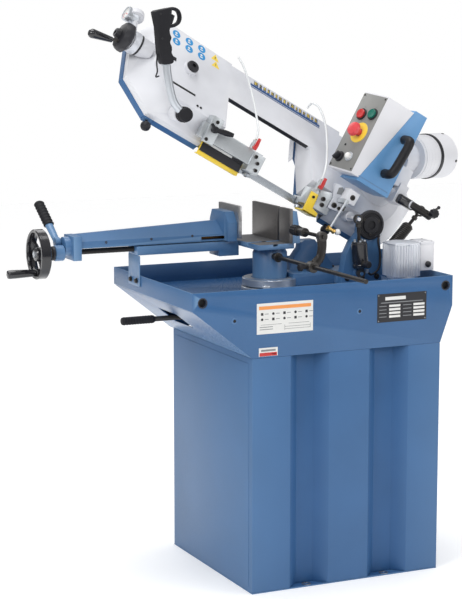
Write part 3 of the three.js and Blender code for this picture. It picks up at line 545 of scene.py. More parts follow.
# ---- stand ----
def make_stand():
    dress("base_plate cabinet", blue, 1.6)
    dress("tray", tray_blue, 2.2, 3)
    for name, x in (("left", -1), ("right", 1)):
        face = (281.2 * x, 279.8 * x)
        seam = block(sorted(face), (-236, 236), (14, 612))
        piece(f"side_panel_{name}", "stand", SAW, [(seam, blue)], 0.5)
    screws = []
    for x in (-331, 32):
        screws.append((turned([(8, 0), (7.4, 0.9), (4.4, 1.6), (4, 0.5)], "z", (x, 730, 0), 28), blue))
        # The dark disc is painted shade at the bottom of each screw's well.
        screws.append((disc(4.1, (0.4, 0.9), "z", (x, 730, 0), 16, 0.1), dark))
    piece("tray_front_screws", "stand", FRONT, screws)
    rims = []
    for x in (-420, 294):
        rims.append((turned([(10.4, -11), (10.4, 0.3), (12.6, 0.9), (13.4, 0.2), (13.2, 0)], "z",
                            (x, 782, 0), 32, True), black))
        # The dark disc closing each hole is painted shade inside the hole.
        rims.append((disc(10.4, (-11.4, -10.6), "z", (x, 782, 0), 24, 0.2), dark))
    piece("lift_hole_grommets", "stand", FRONT, rims)
    bolts = []
    for y in (-242, 242):
        for x in (-113, 122.5):
            bolts.append((turned([(13, 3), (13, 4.4), (7, 4.4), (7, 3)], "z", (x, y, 0), 28, True), steel))
    piece("floor_bolt_washers", "stand", SAW, bolts)
    rim_screws = hex_heads(5, 5, "y", [(x, 254.8, 600) for x in (-255, 0, 255)])
    piece("cabinet_rear_screws", "stand", SAW, rim_screws)


def make_pedestal():
    x, y = PEDESTAL[:2]
    column = turned([(26, 672), (26, 757), (44, 766.5), (47.4, 767), (47.4, 858), (43, 866), (43, 872.6)],
                    "z", PEDESTAL, 64)
    ring = turned([(48, 757.4), (78, 757.4), (78, 764.5), (76.5, 766.2), (48, 766.2)], "z", PEDESTAL, 96,
                  True)
    ticks = []
    for k in range(-6, 25):
        angle = math.radians(200 + 6 * k)
        long = 4 if k % 5 == 0 else 2.4
        turn = Matrix.Translation((x, y, 0)) @ Matrix.Rotation(angle, 4, "Z")
        ticks.append((placed(block((77.9, 78.15), (-0.4, 0.4), (759, 759 + long)), turn), black_print_and_shade))
    pointer = placed(block((60, 84), (-9, 9), (757.4, 775)),
                     Matrix.Translation((x, y, 0)) @ Matrix.Rotation(math.radians(238), 4, "Z"))
    drum = [(74.2, 769), (75.6, 770.4), (75.6, 787.6), (74.2, 789)]
    piece("turntable_ring", "turntable", SAW,
          [(turned([*drum, (70, 790.6), (52, 790.6), (52, 790.1), (70, 790.1)], "z", PEDESTAL, 96, True),
            chrome)])
    piece("pedestal_column", "stand", SAW, [(column, blue_cast), (ring, chrome), *ticks], 0.0,
          ["pedestal"])
    piece("scale_pointer", "stand", SAW, [(pointer, chrome)], 0.8)


# ---- vice ----
def make_vice():
    dress("vice_slide vice_strut", blue_cast, 1.6)
    dress("vice_bed", blue_cast, 1.4)
    dress("fixed_jaw", blue_cast, 3.0, 3)
    dress("vice_arm", blue_cast, 5.0, 4)
    dress("fixed_jaw_plate_front fixed_jaw_plate_rear", jaw_steel, 0.7)
    dress("moving_jaw_plate", steel, 0.7)
    top = 887.1
    plates = [(block((-150, -46), y, (top - 0.3, top)), iron) for y in ((-24, 34), (48, 205))]
    piece("bed_top_faces", "stand", SAW, plates, 0.0)
    bolt_parts = hex_heads(6, 6, "x", [(-451.5, y, 793) for y in (105, 145)], -1)
    piece("strut_bolts", "stand", SAW, bolt_parts, 0.3)
    # The bronze strip is its own colour; the dark block beside it is painted shade in the window.
    window = [(block((-262.5, -181.5), (115, 121.8), (893.3, 901.8)), bronze),
              (block((-262.5, -181.5), (111, 115), (900, 901.8)), dark)]
    piece("slide_wear_strip", "jaw_arm", SAW, window, 0.2)
    sets = [(turned([(3.4, 0), (3.4, -0.8), (1.9, -0.8), (1.8, 0.6)], "y", (x, 100, z), 18), black_metal)
            for x, z in ((-540, 902), (-410, 904), (-290, 906))]
    piece("gib_screws", "jaw_arm", SAW, sets)
    plate_screws = cap_screws(4.2, 0.7, "x", [(-160.2, y, z) for y in (84, 166) for z in (920, 962)])
    piece("jaw_plate_screws", "jaw_arm", SAW, plate_screws)
    thread = []
    for k in range(92):
        thread += [(7.8, -700 + 4 * k), (6.9, -698.6 + 4 * k)]
    collar = [(8, -722), (8, -706), (13, -704), (13, -668), (11, -666), (8, -664)]
    piece("vice_screw_thread", "vice_screw", SAW, [
        (turned([*collar, *[(r, x) for r, x in thread if x > -662], (7, -302)], "x", VICE_SCREW, 28),
         black_metal)],
        0, ["vice_screw"])
    make_handwheel()
    make_clamp_lever()


def make_handwheel():
    centre = (-717, 128, 877)
    rim_section = [(56.5, -10), (58, -13), (63.5, -13.5), (66, -11), (66, 11), (63.5, 13.5), (58, 13),
                   (56.5, 10)]
    rim = turned([(r, x - 719) for r, x in rim_section], "x", VICE_SCREW, 96, True)
    hub = turned([(10, -730), (17, -729), (19, -726), (19, -708), (16, -704.5), (9, -704)], "x", VICE_SCREW,
                 40)
    nut = turned([(9, -733.5), (9, -730), (3, -730)], "x", VICE_SCREW, 6)
    parts = [(rim, gloss_black), (hub, gloss_black), (nut, chrome)]
    for y, z in around(3, 1, math.pi * 1.5):
        way = Vector((0, y, z))
        start, end = Vector(centre) + way * 12, Vector(centre) + way * 60
        middle = (start + end) / 2 + Vector((4, 0, 0))
        parts.append((swept(spline([start, middle, end], 6), lambda t: 6.5 - 2 * math.sin(math.pi * t), 14),
                      gloss_black))
    boss = turned([(10, -728.2), (11, -726), (11, -708), (9, -706)], "x", CRANK, 28)
    piece("handwheel_rim_and_spokes", "vice_screw", SAW, [*parts, (boss, gloss_black)], 0,
          ["vice_handwheel"])
    grip = [(6.5, 0), (9, 2), (9.6, 6), (11.6, 56), (11.8, 72), (10.6, 77), (7, 78.4), (3, 78.6)]
    body = turned([(r, -728.4 - x) for r, x in grip][::-1], "x", CRANK, 36)
    piece("crank_grip_body", "crank_grip", SAW, [(body, gloss_black)], 0, ["crank_grip"])


def make_clamp_lever():
    hub = turned([(10, -668), (12.5, -667), (12.5, -654), (10, -651.5), (8.8, -651), (8.8, -624)], "x",
                 (0, 150, 904), 32)
    start, end = Vector((-660, 150, 904)), Vector((-671.4, 262, 999))
    way = (end - start).normalized()
    arm = swept([start, start + way * 75], lambda t: 9 + 2.5 * t, 16, False, 0.7)
    length = (end - start).length
    ribs = [start + way * (62 + (length - 62) * k / 40) for k in range(41)]

    def ribbed(t):
        taper = 1 - 0.35 * max(0.0, (t - 0.94) / 0.06) ** 2
        return (14 + 0.9 * math.sin(t * 16 * math.pi)) * taper

    grip = swept(ribs, ribbed, 20, False, 0.75)
    collar = turned([(13.8, -677), (20, -676.5), (21, -675), (21, -653), (20, -651.6), (13.8, -651)], "x",
                    VICE_SCREW, 48, True)
    washer = turned([(13.8, -684), (18, -683.6), (19, -682), (19, -678), (13.8, -677.2)], "x", VICE_SCREW,
                    48, True)
    piece("screw_bearing_collar", "jaw_arm", SAW, [(collar, blue_cast), (washer, black)])
    piece("clamp_lever_arm", "clamp_lever", SAW, [(hub, blue_cast), (arm, blue_cast), (grip, rubber)], 0.0,
          ["clamp_lever"])


# ---- length stop, lock lever, pump ----
def ribbed_grip(start, end, radius):
    start, end, ribs = Vector(start), Vector(end), 12
    line = [start.lerp(end, k / (ribs * 6)) for k in range(ribs * 6 + 1)]

    def size(t):
        ends = 1 - 0.3 * max(0.0, (abs(t - 0.5) - 0.46) / 0.04) ** 2
        return radius * (0.94 + 0.06 * math.cos(t * ribs * 2 * math.pi)) * ends

    return swept(line, size, 20)


def make_small_stand_parts():
    shaft = turned([(5, -518), (6, -517), (6, -24), (9, -22), (9, -9), (7.5, -8)], "y", STOP_ROD, 28)
    piece("stop_rod_shaft", "stand", SAW,
          [(shaft, black_metal), (disc(13, (-34, -26.5), "y", STOP_ROD, 30), black_metal)],
          0, ["stop_rod"])
    knuckle = turned([(6.4, -240), (14, -240), (15, -239), (15, -219), (14, -218), (6.4, -218)], "y",
                     STOP_ROD, 36, True)
    curve = spline([(-86, -229, 860), (-72, -229, 876), (-67, -229, 900), (-68, -229, 926)], 6)
    arm = swept(curve, lambda t: 14 - 1.5 * math.sin(math.pi * t), 18, False, 0.6)
    eye = turned([(5.8, -239), (12, -239), (13, -238), (13, -221), (12, -220), (5.8, -220)], "y",
                 STOP_SCREW, 30, True)
    clamp = turned([(3, -14), (9, -13), (10, -11), (10, -3), (5, -2), (5, 12)], "x", (-122, -229, 852), 8)
    piece("stop_arm_body", "stop_arm", SAW, of(black_metal, knuckle, arm, eye), 0.0,
          ["stop_arm"])
    piece("stop_arm_clamp_screw", "stop_arm", SAW, [(clamp, rubber)], 0.4)
    thread = []
    for k in range(26):
        thread += [(5.0, -245 + 4 * k), (4.3, -243 + 4 * k)]
    head = [(4.3, -141), (9, -138), (12, -136), (12, -120), (9.5, -118), (9.5, -100), (12, -98), (12, -66),
            (9, -62)]
    knob = turned([*thread, *head], "y", STOP_SCREW, 32)
    lobed = turned([(11, -98), (14.4, -97), (14.4, -67), (11, -65)], "y", STOP_SCREW, 48, False, 12, 0.09)
    piece("stop_screw_knob", "stop_screw", SAW, [(knob, black_metal), (lobed, rubber)], 0,
          ["stop_knob"])

    hub = turned([(26.4, 685), (37, 685), (38, 686), (38, 708), (37, 709), (26.4, 709)], "z", PEDESTAL, 48,
                 True)
    bar = swept([(-121, 41, 697), (-440, 41, 697)], 7, 20)
    piece("lock_lever_body", "swivel_lock_lever", SAW, [
        (hub, black_metal), (bar, black_metal),
        (ribbed_grip((-428, 41, 697), (-522, 41, 697), 11.4), rubber)],
        0, ["swivel_lock_lever"])


def rounded_square(count, half, depth=lambda k: 1):
    """Points round the pump; depth draws the sides in between the ribs."""
    outline = []
    for k, (x, y) in enumerate(around(count, 1)):
        reach = half * (abs(x) ** 5 + abs(y) ** 5) ** -0.2 * depth(k)
        outline.append((PUMP_X + reach * x, PUMP_Y + reach * y))
    return outline


def make_pump():
    at = (PUMP_X, PUMP_Y, 0)
    stem = turned([(30, 757.5), (34, 758), (34, 790), (40, 794), (40, 800)], "z", at, 48)
    ribbed = rounded_square(288, 42.5, lambda k: 1 if k % 8 < 5 else 0.93)
    cap = turned([(30, 884), (44, 885), (45, 887), (44, 891), (20, 892)], "z", at, 8)
    parts = [(stem, pump_alu), (prism("xy", ribbed, (799, 886)), pump_alu)]
    parts += [(prism("xy", rounded_square(96, 42), (885, 889.5)), pump_alu), (cap, pump_alu)]
    parts.append((block((263, 305), (-175, -113), (813, 884)), white))
    parts.append((block((264, 306), (-176, -112), (884, 891.6)), white))
    piece("pump_motor_shell", "stand", SAW, parts, 0.9, ["coolant_pump"])
    screws = cap_screws(3.2, 0.35, "z", [(x, y, 891.5) for x in (270, 300) for y in (-170, -118)])
    screws += [(turned([(6, -176.6), (8.5, -177), (8.5, -181), (5, -186), (4, -187)], "y", (285, 0, 830),
                       20), black)]
    piece("pump_box_screws", "stand", SAW, screws)


# ---- swivelling arm and pivot ----
def make_turntable():
    dress("swivel_arm", blue_cast, 2.2, 3)
    dress("pivot_bracket", blue_cast, 2.2, 3)
    hub = turned([(39, 0), (40.5, -1.2), (40.5, -8), (38.5, -10.4), (33, -11), (31.5, -8.6), (25, -8.6),
                  (23.5, -11.2),
                  (12, -11.8), (11, -8.5), (5, -8.4)], "y", (172, -54.4, 930), 64)
    pin = turned([(15, -60), (15, 25), (13, 27)], "y", (172, 0, 930), 40)
    parts = [(hub, black), (pin, steel)]
    parts += cap_screws(3.6, 1.7, "y", [(172 + x, -64.2, 930 + z) for x, z in around(3, 25.5, 0.4)], -1)
    piece("pivot_cap", "turntable", SAW, parts, 0.0, ["pivot_pin"])
    bolts = hex_heads(6.5, 6, "y", [(x, -54.2, 786) for x in (104, 196, 150)], -1)
    piece("bracket_bolts", "turntable", SAW, bolts, 0.4)
    arm_bolts = cap_screws(6, 4.5, "z", [(x, y, 802) for x in (120, 190) for y in (0, 64)])
    piece("swivel_arm_bolts", "turntable", SAW, arm_bolts)
    pipe = spline([(150, -80, 806), (166, -80, 796), (190, -76, 812), (196, -72, 850), (192, -68, 884),
                   (200, -60, 902)], 8)
    piece("damper_return_pipe", "turntable", SAW, [
        (swept(pipe, 3.2, 12), black), (disc(6, (0, 10), "z", (150, -80, 801), 6), chrome),
        (disc(5.4, (-64, -54.2), "y", (200, 0, 902), 6), chrome)])


def make_links():
    foot = turned([(5.4, -6), (11, -6), (11, 6), (5.4, 6)], "y", ORIGIN, 36, True)
    neck = block((-8, 8), (-5.6, 5.6), (8, 17))
    shell = turned([(16, 16), (21, 17), (22, 19), (22, 26), (21, 27), (21, 33), (22, 34), (22, 82),
                    (20.5, 84), (20.5, 87),
                    (18, 90), (6, 90)], "z", ORIGIN, 56)
    valve = turned([(8, -34), (8, -18), (6, -16)], "y", (0, 0, 30), 28)
    screws = [(16 * math.cos(a), 16 * math.sin(a), 89.4) for a in (0.6, 1.9, 3.4, 4.4, 5.4)]
    piece("feed_cylinder_shell", "feed_cylinder", FEED, [
        (foot, black_metal), (neck, black_metal), (shell, gloss_black), (valve, black_metal),
        *cap_screws(3.4, 4, "z", screws, 1, chrome)],
        0.0, ["feed_cylinder"])
    knob = turned([(8, -34.4), (10, -35.5), (10, -47), (8.5, -49.8), (3, -50)], "y", (0, 0, 30), 48, False,
                  14, 0.08)
    piece("feed_valve_grip", "feed_valve_knob", FEED, [(knob, black)], 0,
          ["feed_valve_knob"])
    length = math.hypot(10, 150)
    eye = turned([(9.1, -5), (12.6, -5), (13, -4.4), (13, 4.4), (12.6, 5), (9.1, 5)], "y", (0, 0, length),
                 36, True)
    shaft = turned([(4.6, 52), (4.9, length - 22), (7.5, length - 21), (7.5, length - 14),
                    (5, length - 12.6)], "z", ORIGIN, 28)
    piece("feed_rod_shaft", "feed_rod", FEED, of(black_metal, eye, shaft), 0.0,
          ["feed_rod"])

    foot = turned([(6.6, -5), (10.6, -5), (11, -4.4), (11, 4.4), (10.6, 5), (6.6, 5)], "y", ORIGIN, 30,
                  True)
    coil = swept(helix(14, (16, 97), 15), 2.6, 10)
    core = turned([(5, 9), (5, 13), (11, 14), (12, 16), (11, 18), (11, 94), (13, 95.5), (15, 97.6),
                   (12, 102), (5.8, 103)], "z", ORIGIN, 32)
    piece("return_spring_coil", "spring_sleeve", SPRING,
          of(black_metal, foot, core, coil),
          0, ["spring_sleeve"])
    length = math.hypot(106, 110)
    eye = turned([(11.2, -4), (15, -4), (15.5, -3.4), (15.5, 3.4), (15, 4), (11.2, 4)], "y", (0, 0, length),
                 36, True)
    shaft = turned([(4.9, 46), (4.9, length - 30), (8, length - 29), (8, length - 22), (4.9, length - 21),
                    (4.9, length - 13)],
                   "z", ORIGIN, 24)
    piece("spring_rod_shaft", "spring_rod", SPRING, of(black_metal, eye, shaft), 0,
          ["spring_rod"])


# ---- bow ----
def make_bow_frame():
    dress("bow_frame", white_cast, 3.0, 3)
    dress("bow_cover", blue, 0.9)
    dress("drive_wheel idler_wheel", iron, 1.0)
    dress("idler_block", steel, 1.0)
    boss = turned([(21, 70), (21, 78), (19.5, 80), (14, 80)], "z", (-447, 17, 0), 44)
    plug = turned([(17, 80), (17, 86), (15, 88.5), (6.2, 88.5), (6.2, 84)], "z", (-447, 17, 0), 44)
    piece("axle_boss", "bow", PLANE, [(boss, white_cast), (plug, black)])
    # The dark strip and the two dark discs are painted shade in a slot and two holes.
    piece("adjusting_slots", "bow", PLANE, [
        (block((-500, -421), (-68.5, -61.5), (69.8, 70.5)), dark),
        (block((-517, -494), (14, 26), (69.6, 71.2)), black_print_and_shade),
        *[(disc(3.4, (70, 72), "z", (x, -97, 0), 16, 0.2), dark) for x in (-411, -400)]], 0.3)
    # A black strip of painted shade along the beam's underside.
    piece("beam_underside_painted_shade", "bow", PLANE, [(block((-314, -36), (-0.9, -0.2), (57.5, 69)), black_print_and_shade)])
    piece("throat_edge_plate", "bow", PLANE, [(block((-36.5, -34.6), (2, 97), (-18, -0.3)), white_cast)])
    body = turned([(3, 0), (4, 0.5), (4, 8), (9, 9), (13, 14), (14, 20), (12, 27), (7, 31), (2, 32)], "y",
                  sides=30)
    for k, (x, s) in enumerate(((-513, -160), (100, -157))):
        place = Matrix.Translation((x, s, -9)) @ Matrix.Rotation(math.pi, 4, "Z")
        piece(f"cover_knob_{k + 1}", "bow_cover", PLANE, [(placed(body, place), black)], 0)
    hinge = [(turned([(4.4, x), (4.4, x + 44)], "x", (0, 155.5, -6), 20), black_metal)
             for x in (-480, -200, 120, 290)]
    places = ((-580, 0), (-440, 130), (-180, 130), (60, 130), (340, 100))
    screws = cap_screws(4, 3, "z", [(x, s, -18) for x, s in places], -1)
    piece("cover_screws", "bow_cover", PLANE, screws)
    piece("cover_hinge_barrels", "bow_cover", PLANE, hinge, 0.3)
    for name, x in (("drive", DRIVE_X), ("idler", IDLER_X)):
        # The five dark discs are painted shade in the wheel's openings.
        spokes = [(disc(12, (-7, -3.4), "z", (x + u, AXLE_S + v, 0), 24, 0.4), dark) for u,
                  v in around(5, 72)]
        spokes += hex_heads(9, 5, "z", [(x, AXLE_S, -12)], -1)
        piece(f"{name}_wheel_details", f"{name}_wheel", PLANE, spokes)


def blade_station(x, s, angle, twist):
    out = Vector((math.cos(angle) * math.cos(twist), math.sin(angle) * math.cos(twist), -math.sin(twist)))
    wide = Vector((0, math.sin(twist) * -math.sin(angle), math.cos(twist)))
    return Vector((x, s, 0)), out, wide


def make_blade():
    """A toothed band round both wheels; between its guides it is twisted upright."""
    radius = WHEEL_R + 0.75
    pitch = 5.0
    span = DRIVE_X - IDLER_X
    arc = math.pi * radius
    total = 2 * span + 2 * arc
    teeth = round(total / pitch)
    upright = math.pi / 2 - LEAN
    twist_from, twist_to = -340, 60
    half_thick, half_wide, gullet = 0.45, 10, 2.4
    points, faces = [], []
    for k in range(2 * teeth):
        way = total * k / (2 * teeth)
        if way < arc:
            angle = -math.pi / 2 - way / radius
            station = blade_station(IDLER_X + radius * math.cos(angle), AXLE_S + radius * math.sin(angle),
                                    angle, 0)
        elif way < arc + span:
            station = blade_station(IDLER_X + way - arc, AXLE_S + radius, math.pi / 2, 0)
        elif way < 2 * arc + span:
            angle = math.pi / 2 - (way - arc - span) / radius
            station = blade_station(DRIVE_X + radius * math.cos(angle), AXLE_S + radius * math.sin(angle),
                                    angle, 0)
        else:
            x = DRIVE_X - (way - 2 * arc - span)
            share = 1.0
            if x > twist_to:
                share = (DRIVE_X - x) / (DRIVE_X - twist_to)
            if x < twist_from:
                share = (x - IDLER_X) / (twist_from - IDLER_X)
            station = blade_station(x, AXLE_S - radius, -math.pi / 2, upright * share)
        centre, out, wide = station
        low = -half_wide + (gullet if k % 2 else 0)
        for h, w in ((-half_thick, low), (half_thick, low), (half_thick, half_wide),
                     (-half_thick, half_wide)):
            points.append(tuple(centre + out * h + wide * w))
    count = 2 * teeth
    for i in range(count):
        for corner in range(4):
            a, b = i * 4 + corner, i * 4 + (corner + 1) % 4
            c, d = (i + 1) % count * 4 + (corner + 1) % 4, (i + 1) % count * 4 + corner
            faces.append((a, b, c, d))
    piece("toothed_blade", "bow", PLANE, [((points, faces), blade_steel)], 0, ["blade"])


def make_tension():
    s, d = 8, 54
    dress("tension_housing", white_cast, 1.0)
    piece("tension_collar", "bow", PLANE, [
        (turned([(29, -632.5), (30.4, -631), (30.4, -614), (29, -612)], "x", (0, s, d), 56), pump_alu),
        (turned([(27, -611.6), (29, -611), (29, -606), (27, -605.4)], "x", (0, s, d), 56), black)])
    at = (0, 77, 70)
    cup = turned([(16, -632), (19, -633), (20.5, -636), (20.5, -664), (19.4, -667), (17.6, -667),
                  (17.6, -663)], "x", at, 48)
    neck = turned([(7, 28), (7, 60)], "y", (-645, 0, 64), 24)
    marks = [(cup, chrome), (neck, pump_alu), (disc(17.5, (-664, -663.2), "x", at, 40, 0.1), print_white)]
    for k in range(9):
        turn = Matrix.Translation((-664.3, 77, 70)) @ Matrix.Rotation(math.radians(-30 + 30 * k), 4, "X")
        marks.append((placed(block((-0.1, 0.1), (-0.8, 0.8), (11, 16)), turn), signal_red if k > 5
                      else black_print_and_shade))
    turn = Matrix.Translation((-664.7, 77, 70)) @ Matrix.Rotation(math.radians(50), 4, "X")
    marks.append((placed(block((-0.1, 0.1), (-0.9, 0.9), (-4, 14)), turn), signal_red))
    piece("tension_gauge", "bow", PLANE, marks, 0.0)
    wheel = turned([(12, -637), (36, -638), (41.5, -643), (41.5, -654), (35, -664), (16, -669), (13, -676),
                    (11, -680),
                    (5.5, -680), (5, -674)], "x", (0, s, d), 10)
    spindle = turned([(8.4, -642), (8.4, -492.5)], "x", (0, s, d), 28)
    arm = swept([(-660, -12, 52), (-692, -24, 49)], 4.6, 16)
    line = [Vector((-684, -22, 49.5)).lerp(Vector((-750, -38, 45)), k / 20) for k in range(21)]
    grip = swept(line, lambda t: (7.5 + 6 * t) * (1 - 0.45 * max(0.0, (t - 0.86) / 0.14) ** 2), 28)
    piece("tension_wheel_body", "tension_handwheel", PLANE,
          [(wheel, black), (spindle, steel), (arm, black_metal), (grip, gloss_black)],
          0, ["tension_handwheel"])


def valve(name, body, x, y, base):
    """A brass needle valve standing on a guide, and its red lever on the lever's own body."""
    parts = [
        (turned([(7, base), (7, base + 8)], "z", (x, y, 0), 6), brass),
        (turned([(5, base + 8), (6.4, base + 10), (6.4, base + 18), (5, base + 19), (4, base + 24),
                 (4.8, base + 25),
                 (4.8, base + 31), (3.4, base + 33)], "z", (x, y, 0), 24), brass),
        (turned([(4.6, y - 7.6), (4.6, y - 1)], "y", (x, 0, base + 12), 20), brass)]
    piece(f"coolant_valve_{name}", body, BOW, parts, 0.3)
    lever = [(turned([(3, y - 22.6), (5, y - 22), (5, y - 8.6)], "y", (x, 0, 956), 20), red),
             (prism("xz", [(x - 4.2, 949), (x + 4.2, 949), (x + 5.4, 962), (x + 4, 982.5), (x - 4, 982.5),
                           (x - 5.4, 962)],
                    (y - 22.2, y - 17.4)), red)]
    piece(f"coolant_lever_{name}", f"coolant_tap_{name}", BOW, lever, 0.9,
          [f"coolant_tap_{name}"])


def make_guides():
    dress("guide_arm", aluminium, 0.9)
    dress("guide_clamp_block", aluminium, 1.0)
    dress("right_guide_block", aluminium, 1.0)
    dress("left_blade_guard", yellow, 0.5)
    guard = prism("xz", [(-14, 876), (32, 876), (32, 889), (11, 894), (8.5, 934), (-14, 934)], (-20, -14.4))
    shelf = block((-14, 32), (-20, 30), (876, 879.6))
    piece("right_guard_plate", "bow", BOW, of(yellow, guard, shelf), 0.7,
          ["right_blade_guard"])
    piece("right_guard_screw", "bow", BOW, cap_screws(4, 3, "y", [(-3, -20, 922)], -1))
    valve("left", "guide_arm", -226, -6, 944)
    valve("right", "bow", 4, -4, 942)
    screws = cap_screws(5, 4.6, "y", [(x, -20, z) for x, z in ((-210, 936), (-198, 922), (-194, 903))], -1)
    rollers = []
    foot = 883.6
    roller = [(4, foot), (10, foot), (11, foot + 1), (11, foot + 8), (10, foot + 9), (4, foot + 9)]
    for x in (-214, -190):
        rollers.append((turned(roller, "z", (x, 29.5, 0), 32, True), chrome))
        rollers.append((turned([(4.2, 882), (4.2, 893.5)], "z", (x, 29.5, 0), 20), black_metal))
    piece("left_guide_screws", "guide_arm", BOW, screws)
    piece("left_guide_rollers", "guide_arm", BOW, rollers)
    strip = [(block((-356, -226), (1.6, 5), (878.5, 902)), black),
             (block((-336, -262), (0.8, 5), (902.4, 908)), print_white),
             (block((-262, -226), (1.2, 5), (902.4, 908)), black)]
    piece("left_guard_liner", "guide_arm", BOW, strip, 0.4)
    bolts = cap_screws(5, 1.8, "y", [(CLAMP_LEVER_X, -26, 962), (-365, -26, 908)], -1)
    piece("clamp_block_screws", "bow", BOW, bolts)
    hub = turned([(6, -26.6), (9, -27), (9.4, -30), (9.4, -38), (7, -41), (2.5, -42)], "y",
                 (CLAMP_LEVER_X, 0, CLAMP_LEVER_Z), 36)
    middle = (CLAMP_LEVER_X, -37, CLAMP_LEVER_Z)
    line = spline([middle, (-338, -40, 944), (-322, -44, 947), (-309, -48, 950)], 8)
    arm = swept(line, lambda t: 5.2 + 2.6 * math.sin(math.pi * min(1.0, t * 1.02)), 20)
    tail = swept(spline([middle, (-366, -37, 945), (-374, -36, 950)], 4), lambda t: 5.2 - 1.6 * t, 16)
    piece("clamp_lever_star", "guide_clamp_lever", BOW, of(black, hub, arm, tail), 0.0,
          ["guide_clamp_lever"])
    make_right_guide_details()


def make_right_guide_details():
    details = cap_screws(6.4, 4.6, "y", [(27, -18.6, 931), (31, -18.6, 915)], -1)
    details += cap_screws(7.5, 5, "y", [(64, -20.6, 931)], -1)
    details += cap_screws(5, 3, "y", [(82, -20.6, 930)], -1)
    piece("right_guide_screws", "bow", BOW, details)
    face = prism("xz", [(10.5, 897), (48, 896), (50, 948), (44, 958), (10.5, 950)], (-18.8, -14.1))
    carrier = prism("xz", [(50, 917), (90, 921), (94, 960), (92, 972), (62, 992), (40, 986), (46, 960),
                           (51, 950)], (-20.8, -8))
    ear = prism("xz", [(70, 950), (106, 952), (108, 988), (72, 990)], (-50, -21))
    piece("guide_carrier", "bow", BOW, [(face, aluminium), (carrier, pump_alu), (ear, white_cast)], 1.6)
    window = [(56, 962), (70, 966), (72, 982), (64, 986), (54, 980)]
    piece("guide_carrier_details", "bow", BOW, [
        (prism("xz", window, (-21.4, -20.4)), print_grey),
        (prism("xz", [(88, 926), (98, 930), (98, 944), (88, 942)], (-24, -12)), black_metal),
        *cap_screws(7.5, 2.5, "y", [(90, -50, 970)], -1)])
    rod = swept([(73, -60, 955), (64, -60, 868)], 3.4, 16)
    fitting = turned([(4, 0), (8, 1), (8, 9), (6, 10), (6, 18), (7.4, 19), (7.4, 24), (3, 26)], "x",
                     (56, -60, 863), 24)
    ball = turned([(0.5, -9), (5.2, -7.4), (8.4, -3), (9, 0), (8.4, 3), (5.2, 7.4), (0.5, 9)], "x",
                  (90, -60, 867), 28)
    stay = block((66, 80), (-62, -22), (944, 956))
    piece("lubricator", "bow", BOW, [(rod, chrome), (fitting, brass), (ball, lens), (stay, aluminium)])
    roller = [(4, 880), (9, 880), (9.6, 881), (9.6, 888), (9, 889), (4, 889)]
    piece("right_guide_roller", "bow", BOW, [(turned(roller, "z", (-8, 29.6, 0), 30, True), chrome)])


def make_handle():
    y = -46
    dress("trigger", black, 0.8)
    knob = turned([(9, -28.5), (17, -29), (19, -32), (19, -58), (17.5, -63), (13, -65.4), (4, -66)], "y",
                  HANDLE_FOOT, 48)
    tube = swept(spline([(-460, y, 931), (-484, y, 937), (-503, y, 946), (-523, y, 965), (-547, y, 993),
                         (-572, y, 1026)], 8),
                 10.4, 28)
    ribs = turned([(19.2, -52), (21, -51), (21, -36), (19.2, -35)], "y", HANDLE_FOOT, 60, False, 20, 0.05)
    collar = turned([(20, 12), (21.5, 10), (21.5, -24), (20, -27), (12, -28.2)], "y", HANDLE_FOOT, 48)
    piece("handle_tube_bend", "bow", BOW,
          [(tube, chrome), (knob, rubber), (ribs, rubber), (collar, white_cast)],
          0, ["handle_tube"])
    outline = [(-666, 1117), (-662, 1123), (-634, 1147), (-627, 1145), (-611, 1110), (-607, 1096),
               (-601, 1089),
               (-593, 1083), (-592, 1076), (-591, 1070), (-581, 1063), (-577, 1057), (-575, 1050),
               (-567, 1045),
               (-561, 1038), (-557, 1031), (-561, 1025), (-577, 1013), (-583, 1014), (-601, 1031),
               (-622, 1062), (-640, 1088)]
    piece("handle_grip_body", "bow", BOW, [(prism("xz", outline, (-63, -29)), rubber)], 5.5,
          ["handle_grip"])
    loop = spline([(-634, y, 1142), (-620, y, 1152), (-606, y, 1152.6), (-594, y, 1141), (-591.6, y, 1127),
                   (-599, y, 1114.5),
                   (-613, y, 1104)], 8)
    collar = turned([(12, 0), (13, 1), (13, 8), (11, 10)], "z", ORIGIN, 32)
    way = Vector((-25, 0, 33)).normalized()
    at = Matrix.Translation((-568, y, 1018)) @ way.to_track_quat("Z", "Y").to_matrix().to_4x4()
    parts = [(swept(loop, 4.4, 20, False, 2.6), rubber), (placed(collar, at), chrome)]
    # The two dark discs are painted shade in holes in the grip's side.
    for u, z in ((-616, 1068), (-650, 1120)):
        parts.append((disc(3.2, (-63.6, -62), "y", (u, 0, z), 18, 0.3), dark))
    piece("handle_grip_loop", "bow", BOW, parts)
    wire = swept(spline([(-603, -44, 1034), (-592, -44, 1010), (-580, -44, 992), (-577, -44, 978),
                         (-570, -45, 984)], 6), 2, 10)
    piece("trigger_wire", "bow", BOW, [(wire, black)])


